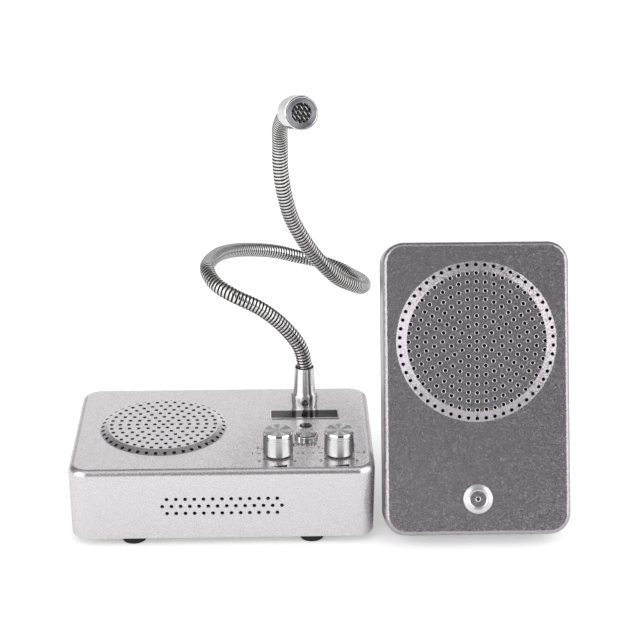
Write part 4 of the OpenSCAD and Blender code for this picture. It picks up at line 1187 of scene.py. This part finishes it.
@dataclass
class Gooseneck:
    """The wound steel neck on its ferrule, cut where its links meet halfway."""

    foot: Spot = (*NECK_AT, DESK_TOP)
    route: tuple[Spot, ...] = (
        (0, 0, 17), (0, 0, 24.5), (-3, -2, 36), (-12, -5, 49), (-23, -7, 59), (-36, -7, 66), (-46, 0, 70),
        (-51, 13, 73), (-50, 29, 72), (-45, 46, 70), (-37, 62, 66), (-26, 76, 61), (-14, 86, 56),
        (-2, 91, 51), (10, 91, 48), (21, 85, 46), (29, 75, 45), (33, 63, 47), (34, 49, 50), (32, 35, 54),
        (27, 23, 60), (19, 14, 67), (12, 7, 76), (5, 2, 86), (-1, -3, 97), (-6, -7, 108), (-9, -11, 119),
        (-11, -14, 130), (-12, -16, 141), (-12, -19, 152), (-12, -25, 162), (-10, -33, 170),
    )
    bends: tuple[int, ...] = (4, 8, 12, 16, 20, 24, 28)
    head_foot: Spot = (-5.5, -50.0, 177.5)
    head_turn: float = 11.0
    head_tilt: float = 15.0
    steps: int = 24
    pitch: float = 1.9
    crest: float = 4.0
    groove: float = 3.6
    half_rib: tuple[Point, ...] = ((0.0, 0.0), (0.15, 0.04), (0.2, 0.5), (0.235, 0.9), (0.31, 0.985))
    groove_share: float = 0.72
    around: int = 24
    bend_reach: float = 8.0

    def head_place(self) -> Matrix:
        """Returns the placing of the head: Z along its axis, from its back."""
        at = Vector(self.foot) + Vector(self.head_foot)
        return shift(*at) @ spin(self.head_turn, "Z") @ spin(90 - self.head_tilt, "X")

    def head_direction(self) -> Vector:
        """Returns the way that the microphone looks."""
        turn, tilt = math.radians(self.head_turn), math.radians(self.head_tilt)
        return Vector((math.sin(turn) * math.cos(tilt), -math.cos(turn) * math.cos(tilt), math.sin(tilt)))

    def centreline(self) -> tuple[np.ndarray, np.ndarray]:
        """Draws a smooth curve through the route.

        Returns:
            Points along the neck's middle and their distances along it.
        """
        look = np.array(self.head_direction())
        tail = [np.array(self.head_foot) + back * look for back in (-8, -2, 4)]
        knots = np.array([*map(np.array, self.route), *tail], float)
        knots = np.vstack([2 * knots[0] - knots[1], knots, 2 * knots[-1] - knots[-2]])
        points = []
        for k in range(1, len(knots) - 2):
            a, b, c, d = knots[k - 1 : k + 3]
            for t in np.arange(self.steps) / self.steps:
                square, cube = 2 * a - 5 * b + 4 * c - d, 3 * b - a - 3 * c + d
                points.append((2 * b + (c - a) * t + square * t**2 + cube * t**3) / 2)
        points.append(knots[-2])
        line = np.array(points) + np.array(self.foot)
        along = np.concatenate([[0], np.cumsum(np.linalg.norm(np.diff(line, axis=0), axis=1))])
        return line, along

    def frames(self, line: np.ndarray) -> tuple[np.ndarray, np.ndarray, np.ndarray]:
        """Carries a steady pair of side directions along the line.

        Args:
            line: The points along the neck.

        Returns:
            The tangents and the two side directions at each point.
        """
        tangents = np.gradient(line, axis=0)
        tangents /= np.linalg.norm(tangents, axis=1)[:, None]
        side = np.array([1.0, 0.0, 0.0])
        sides = []
        for tangent in tangents:
            side = side - tangent * (side @ tangent)
            side /= np.linalg.norm(side)
            sides.append(side)
        first = np.array(sides)
        return tangents, first, np.cross(tangents, first)

    def winding(self, name: str, turns: int, pitch: float) -> Piece:
        """Winds straight ribbed tube: a small rib outline screwed up Z.

        Args:
            name: Its name.
            turns: How many turns.
            pitch: Rise of one turn.

        Returns:
            The straight winding, from z = 0.
        """
        ribs = [*self.half_rib, *((1 - z, r) for z, r in reversed(self.half_rib))]
        clear_selection()
        bpy.ops.mesh.primitive_plane_add(size=1, location=(self.groove, 0, 0))
        piece = Piece(name)
        edit_mode()
        select_all()
        bpy.ops.mesh.merge(type="CENTER")
        bpy.ops.mesh.select_mode(type="VERT")
        select_all()
        for (z0, r0), (z1, r1) in zip(ribs, ribs[1:]):
            extrude(((r1 - r0) * (self.crest - self.groove), 0, (z1 - z0) * pitch))
        edit_mode(False)
        sides = {"steps": self.around, "render_steps": self.around, "use_smooth_shade": True}
        piece.apply("SCREW", angle=2 * math.pi, screw_offset=pitch, iterations=turns, **sides)
        return piece.outward()

    def groove_faces(self, piece: Piece) -> list[int]:
        """Finds what lies down between the ribs.

        Args:
            piece: A straight winding.

        Returns:
            The faces' numbers.
        """
        deep = self.groove + self.groove_share * (self.crest - self.groove)
        reach = [math.hypot(*vertex.co.xy) for vertex in piece.obj.data.vertices]
        return piece.faces(lambda face: sum(reach[k] for k in face.vertices) < deep * len(face.vertices))

    @staticmethod
    def read(reach: float | np.ndarray, rows: np.ndarray, along: np.ndarray) -> np.ndarray:
        """Returns what rows that belong to distances along the neck are at other distances."""
        return np.stack([np.interp(reach, along, rows[:, k]) for k in range(3)], axis=-1)

    def bend_onto(self, piece: Piece, start: float, line: np.ndarray, along: np.ndarray) -> None:
        """Bends a straight winding onto the neck's line.

        Args:
            piece: The winding.
            start: The distance at which it begins.
            line: The points along the neck.
            along: Their distances.
        """
        straight = np.empty(len(piece.obj.data.vertices) * 3)
        piece.obj.data.vertices.foreach_get("co", straight)
        x, y, z = straight.reshape(-1, 3, 1).swapaxes(0, 1)
        _, first, second = self.frames(line)
        reach = np.clip(start + z[:, 0], 0, along[-1])
        middle, across, up = (self.read(reach, rows, along) for rows in (line, first, second))
        piece.obj.data.vertices.foreach_set("co", (middle + x * across + y * up).ravel())
        piece.obj.data.update()

    def build_neck(self) -> None:
        """Winds and bends the neck in seven lengths, one over each bend, in place of the links."""
        line, along = self.centreline()
        total = round(along[-1] / self.pitch)
        pitch = along[-1] / total
        stops = [0.0, *(along[k * self.steps] for k in self.bends), along[-1]]
        middles = [(a + b) / 2 for a, b in zip(stops, stops[1:])]
        cuts = [0, *(round(m / pitch) for m in middles[1:-1]), total - 1]
        for k, (low, high) in enumerate(zip(cuts, cuts[1:])):
            piece = self.winding(f"neck_winding_{k + 1}", high - low, pitch)
            grooves = self.groove_faces(piece)
            self.bend_onto(piece, low * pitch, line, along)
            # Faces down between the ribs get the grooves' painted shade.
            piece.dress(WOUND_STEEL, "ribbed_steel").also(GROOVE_SHADE, grooves)
            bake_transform(piece.obj)
            nodes = [f"gooseneck_link_{k + 1}"] + (["gooseneck_link_8"] if k == 6 else [])
            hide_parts(*nodes)
            LOG.info("%s: %d faces", piece.obj.name, len(piece.obj.data.polygons))

    def build_ferrule(self) -> None:
        """Turns the polished ferrule and drills its grub screw's hole."""
        angles = [math.radians(degrees) for degrees in range(15, 91, 15)]
        curve = [(5.8 + 0.9 * (1 - math.sin(a)), 7.5 + 2.4 * (1 - math.cos(a))) for a in angles]
        outline = [
            (4.65, 0.0), (6.45, 0.0), (6.6, 0.15), (6.85, 1.6), (7.02, 3.2), (7.1, 4.8), (7.1, 6.2),
            (7.06, 7.0), (6.95, 7.35), (6.75, 7.55), *curve, (5.18, 22.15), (5.1, 22.4), (4.95, 22.5),
            (4.3, 21.2), (4.3, 17.0), (3.0, 17.0), (3.0, 8.7), (4.65, 8.7),
        ]
        cutter = turned("grub_drill", [(1.7, 5.5), (1.7, 6.8), (2.0, 7.1), (2.0, 8.0), (0.0, 8.0)], 24)
        cutter.placed(spin(90, "X")).placed(shift(0, 0, 3.75))
        ferrule = turned("neck_ferrule", outline, FINE_SIDES, hollow=True).combine(cutter, Join.CUT)
        ferrule.smooth(TURNED_EDGE, weighted=True).placed(shift(*self.foot))
        centre = (self.foot[0] * MM, self.foot[1] * MM, 0)
        ferrule.dress(FERRULE_STEEL, "bright_chrome", centre=centre).mount(Body.DESK, "gooseneck_ferrule")

    def build(self) -> None:
        """Builds the ferrule and the neck."""
        self.build_ferrule()
        self.build_neck()


@dataclass
class MicrophoneHead:
    """The polished head with a dark ring and a woven mesh, in its own frame."""

    place: Matrix
    radius: float = 8.3
    length: float = 20.0
    collar: float = 5.0
    mesh_radius: float = 4.8
    mesh_back: float = 3.8
    wire: float = 0.55
    weave: float = 1.75
    weave_lift: float = 0.29
    shortest: float = 1.2

    def build_shells(self) -> None:
        """Turns the collar, the barrel and the dark ring."""
        wide, front, back, mesh = self.radius, self.length, self.collar, self.mesh_radius
        inner, rear, lip = wide - 1.2, wide - 0.6, front - 0.7
        out = inner - 0.08
        collar = [
            (4.3, -2.2), (rear - 1.1, -2.2), (rear - 0.5, -2.05), (rear - 0.15, -1.6), (rear, -0.9),
            (rear, 4.2), (rear - 0.1, 4.5), (rear - 0.35, 4.6), (rear - 0.35, 5.0), (6.65, 5.0), (6.65, 8.0),
            (3.0, 8.0), (3.0, 4.1), (4.3, 4.1),
        ]
        barrel = [
            (inner, back), (wide - 0.3, back), (wide - 0.06, back + 0.25), (wide, back + 0.6),
            (wide, front - 0.7), (wide - 0.12, front - 0.25), (wide - 0.4, front - 0.04),
            (wide - 0.65, front), (inner + 0.25, front), (inner, front - 0.2),
        ]
        ring = [
            (mesh, front - 3.0), (out, front - 3.0), (out, lip - 0.15), (out - 0.15, lip), (mesh + 0.45, lip),
            (mesh + 0.1, lip - 0.2), (mesh, lip - 0.6),
        ]
        for name, outline, sides, finish, slot, node in (
            ("mic_collar", collar, FINE_SIDES, CHROME, "bright_chrome", "mic_rear_collar"),
            ("mic_barrel", barrel, 128, CHROME, "bright_chrome", "mic_head_barrel"),
            ("mic_dark_ring", ring, FINE_SIDES, DARK_STEEL, "dark_steel", "mic_head_bezel"),
        ):
            shell = turned(name, outline, sides, hollow=True)
            shell.smooth(TURNED_EDGE, weighted=True).placed(self.place)
            shell.dress(finish, slot, **pattern_at(self.place)).mount(Body.MIC, node)

    def woven_wire(self, length: float, flip: float) -> Piece:
        """Bends one wire over and under the wires that cross it.

        Args:
            length: The wire's length.
            flip: 1 or -1, which side it starts on.

        Returns:
            The wire along X.
        """
        clear_selection()
        across = (0, math.radians(90), 0)
        bpy.ops.mesh.primitive_cylinder_add(vertices=8, radius=self.wire / 2, depth=length, rotation=across)
        wire = Piece("mesh_wire")
        edit_mode()
        wire.pick("EDGE", lambda a, b: abs(a.x - b.x) > length / 2)
        bpy.ops.mesh.subdivide(number_cuts=max(int(length / 0.2), 4))
        edit_mode(False)
        for vertex in wire.obj.data.vertices:
            vertex.co.z += flip * self.weave_lift * math.cos(math.pi * vertex.co.x / self.weave)
        return wire

    def build_mesh(self) -> None:
        """Weaves the wire mesh across the head's mouth, bright wires over dark ones: one steel wire, painted
        lighter on top as painted highlight and darker beneath as painted shade.
        """
        reach = self.mesh_radius + 0.7
        count = int(reach / self.weave)
        at = self.place @ shift(0, 0, self.length - self.mesh_back + 0.58)
        layers = (("mic_mesh_weft", SHADED_WEFT_WIRE, ["mic_head_grille"]), ("mic_mesh_warp", LIT_WARP_WIRE, []))
        for across, (name, finish, nodes) in enumerate(layers):
            wires = []
            for k in range(-count, count + 1):
                offset = k * self.weave
                length = 2 * math.sqrt(max(reach**2 - offset**2, 0.01))
                if length >= self.shortest:
                    wire = self.woven_wire(length, 1 if (k + across) % 2 else -1)
                    wires.append(wire.placed(spin(30 + 90 * across, "Z") @ shift(0, offset)).obj)
            mesh = joined(name, wires).smooth(60).placed(at)
            mesh.dress(finish, "dark_steel").mount(Body.MIC, *nodes)

    def build(self) -> None:
        """Builds the head."""
        self.build_shells()
        self.build_mesh()


# ------------------------------------------------------------------ outer unit


@dataclass
class OuterUnit:
    """The customer side's housing, leaned back on its fold-out leg."""

    lean: float = 22.5
    at: Point = (129.0, -35.5)
    cover: float = 3.0
    thickness: float = 26.0
    mic_height: float = 18.3
    mic_hole: float = 5.85
    housing: PressedHousing = OUTER_CASE

    def place(self) -> Matrix:
        """Returns the placing of the unit: X across, Y up its face, Z out of it."""
        return shift(*self.at) @ spin(90 - self.lean, "X")

    def build_housing(self) -> None:
        """Cuts the microphone's place and builds the housing."""
        half, top = self.housing.depth / 2, self.housing.height
        mic = drill(self.mic_hole, top - 4, top + 2, 48).placed(shift(0, self.mic_height - half))
        self.housing.build([mic], self.place() @ shift(0, half, self.cover), DARK_LACQUER, Body.OUTER)

    def build_microphone(self) -> None:
        """Turns the ring, domed and polished, round a painted face with a small hole."""
        rim, face = 7.4, 1.1
        outline = [
            (0.85, face - 1.0), (5.0, face - 1.0), (5.0, -11.4), (5.7, -11.4), (5.7, 0.0), (rim, 0.0),
            (rim, 0.75), (rim - 0.12, 1.0), (rim - 0.5, 1.28), (rim - 1.2, 1.62), (rim - 1.9, 1.86),
            (rim - 2.5, 1.92), (4.5, 1.78), (4.2, 1.5), (4.05, face), (4.0, face), (1.4, face),
            (1.35, face + 0.12), (1.15, face + 0.16), (0.95, face + 0.05), (0.85, face - 0.2),
        ]

        def painted(flat: bpy.types.MeshPolygon) -> bool:
            """Tells whether a face is part of the painted one."""
            level = flat.normal.z > 0.95 and abs(flat.center.z - face) < 0.02
            return level and math.hypot(*flat.center.xy) > 1.4

        place = self.place() @ shift(0, self.mic_height, self.thickness)
        ring = turned("outer_mic_ring", outline, FINE_SIDES, hollow=True)
        inside = ring.faces(painted)
        ring.smooth(25, weighted=True).placed(place).dress(RING_METAL, "bright_chrome", **pattern_at(place))
        ring.also(DARK_LACQUER, inside).mount(Body.OUTER, "outer_mic_bezel")

    def build(self) -> None:
        """Builds the outer unit's own pieces."""
        self.build_housing()
        self.build_microphone()


# ------------------------------------------------------------------ studio


@dataclass
class Studio:
    """The camera, lamps, room and pale floor, none of them part of the object."""

    focal: float = 1814.18
    picture: int = 640
    tilt: float = 22.63
    turn: float = -1.51
    eye: Spot = (0.02805, -0.85937, 0.4619)
    aim: Spot = (0.05, 0, 0.08)
    lamps: tuple[tuple[str, float, float, Spot], ...] = (
        ("left_lamp", 0.9, 6.0, (-0.75, -0.85, 0.85)),
        ("right_lamp", 0.9, 6.0, (0.85, -0.85, 0.85)),
        ("back_lamp", 0.7, 2.0, (0.05, 1.0, 0.9)),
    )
    world_light: float = 0.72
    wall_levels: Stops = (
        (-180.0, 0.05), (-128.0, 0.06), (-120.0, 0.14), (-84.0, 0.16), (-76.0, 1.8), (-20.0, 1.8),
        (-13.0, 0.03), (30.0, 0.03), (37.0, 1.8), (96.0, 1.8), (104.0, 0.42), (124.0, 0.32), (132.0, 0.05),
        (180.0, 0.05),
    )
    ceiling_levels: Stops = ((-120.0, 0.15), (-75.0, 0.7), (75.0, 0.7), (120.0, 0.15))
    back_sides: Stops = ((-166.0, 1.0), (-144.0, 0.0), (144.0, 0.0), (166.0, 1.0))
    ceiling_edge: Stops = ((46.0, 0.0), (62.0, 1.0))
    back_edge: Stops = ((27.0, 1.0), (41.0, 0.0))
    counter_glow: Stops = ((4.0, 0.16), (24.0, 0.0))
    back_level: float = 0.98
    floor_size: float = 12.0
    floor_tone: float = 0.86
    floor_glow: float = 0.35

    def set_camera(self) -> None:
        """Sets the camera as the photograph's."""
        look = (math.radians(90 - self.tilt), 0, math.radians(self.turn))
        bpy.ops.object.camera_add(location=self.eye, rotation=look)
        camera = bpy.context.object
        camera.data.sensor_width = 36.0
        camera.data.lens = 36.0 * self.focal / self.picture
        camera.data.clip_start = 0.01
        bpy.context.scene.camera = camera

    def hang_lamps(self) -> None:
        """Hangs two broad lamps in front and one behind, none of which metal shows."""
        for name, size, power, at in self.lamps:
            turn = (Vector(self.aim) - Vector(at)).to_track_quat("-Z", "Y").to_euler()
            bpy.ops.object.light_add(type="AREA", location=at, rotation=turn)
            lamp = bpy.context.object
            lamp.name = name
            lamp.data.size = size
            lamp.data.energy = power
            lamp.visible_glossy = False

    @staticmethod
    def ramp(bench: NodeBench, angle: Socket, span: float, stops: Stops) -> Socket:
        """Gives a level for an angle.

        Args:
            bench: The world's nodes.
            angle: The angle, in radians.
            span: The largest angle either way, in degrees.
            stops: Pairs of an angle in degrees and its level.

        Returns:
            The level's socket.
        """
        ends = {"From Min": -math.radians(span), "From Max": math.radians(span)}
        share = bench.add("MapRange", {"Value": angle, **ends}).outputs["Result"]
        ramp = bench.add("ValToRGB", {"Fac": share})
        marks = ramp.color_ramp.elements
        while len(marks) < len(stops):
            marks.new(0.5)
        for mark, (degrees, level) in zip(marks, stops):
            mark.position = 0.5 + degrees / (2 * span)
            mark.color = rgba(level)
        return ramp.outputs["Color"]

    def room(self, bench: NodeBench) -> Socket:
        """Says how bright the room is that metal shows, by direction.

        Two tall white screens stand left and right of the camera with a dark gap between them,
        grey walls stand at the sides, a white wall behind, and the ceiling is lit in front only.

        Args:
            bench: The world's nodes.

        Returns:
            The level's socket.
        """
        way = bench.add("SeparateXYZ", {"Vector": bench.add("TexCoord").outputs["Generated"]}).outputs
        around = bench.math("ARCTAN2", way["X"], bench.math("MULTIPLY", way["Y"], -1.0))
        height = bench.math("ARCSINE", way["Z"])
        sides = (self.wall_levels, self.ceiling_levels, self.back_sides)
        walls, ceiling, behind = (self.ramp(bench, around, 180.0, stops) for stops in sides)
        edges = (self.ceiling_edge, self.back_edge, self.counter_glow)
        high, low, glow = (self.ramp(bench, height, 90.0, stops) for stops in edges)
        shown = bench.mix(high, bench.math("ADD", walls, glow), ceiling)
        return bench.mix(bench.math("MULTIPLY", behind, low), shown, self.back_level)

    def light_world(self) -> None:
        """Lights evenly, shows white to the camera and the room to reflections."""
        world = bpy.data.worlds.new("pale_room")
        bpy.context.scene.world = world
        world.use_nodes = True
        bench = NodeBench(world.node_tree)
        path = bench.add("LightPath").outputs
        seen = bench.math("MAXIMUM", path["Is Camera Ray"], path["Is Transmission Ray"])
        ends = {"To Min": self.world_light, "To Max": 1.0}
        plain = bench.add("MapRange", {"Value": seen, **ends}).outputs["Result"]
        strength = bench.mix(path["Is Glossy Ray"], plain, self.room(bench))
        bench.feed(world.node_tree.nodes["Background"], {"Color": rgba(1.0), "Strength": strength})

    def lay_floor(self) -> None:
        """Lays a pale floor that keeps the object's shadow."""
        clear_selection()
        bpy.ops.mesh.primitive_plane_add(size=self.floor_size)
        floor = bpy.context.object
        floor.name = "studio_floor"
        material = bpy.data.materials.new("Pale floor")
        material.use_nodes = True
        bench = NodeBench(material.node_tree)
        shader = material.node_tree.nodes["Principled BSDF"]
        glow = bench.math("MULTIPLY", bench.add("LightPath").outputs["Is Camera Ray"], self.floor_glow)
        bench.feed(shader, {"Base Color": rgba(self.floor_tone), "Roughness": 0.9, "Specular IOR Level": 0.1})
        bench.feed(shader, {"Emission Color": rgba(1.0), "Emission Strength": glow})
        floor.data.materials.append(material)

    def build(self) -> None:
        """Sets up the studio."""
        bpy.context.scene.view_settings.view_transform = "Standard"
        self.set_camera()
        self.light_world()
        self.hang_lamps()
        self.lay_floor()


def finish_cad_nodes(frame: dict) -> None:
    """Gives every CAD node that stays its slot's procedural finish.
    """
    for part in frame["record"]["subparts"]:
        obj = frame["nodes"][part["node"]]
        material = CAD_FINISHES[part["material_slot"]].material()
        if not obj.data.materials:
            obj.data.materials.append(material)
        for index in range(len(obj.data.materials)):
            obj.data.materials[index] = material


def main() -> None:
    """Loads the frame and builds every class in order."""
    logging.basicConfig(level=logging.INFO, format="%(name)s: %(message)s")
    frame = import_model()
    Studio().build()
    finish_cad_nodes(frame)
    DeskUnit().build()
    VolumeKnob("inner_knob_turned", "inner_volume_knob", Body.INNER_KNOB, KNOB_XS[0]).build()
    VolumeKnob("outer_knob_turned", "outer_volume_knob", Body.OUTER_KNOB, KNOB_XS[1]).build()
    PowerButton().build()
    Badge().build()
    neck = Gooseneck()
    neck.build()
    MicrophoneHead(neck.head_place()).build()
    OuterUnit().build()


if __name__ == "__main__":
    main()
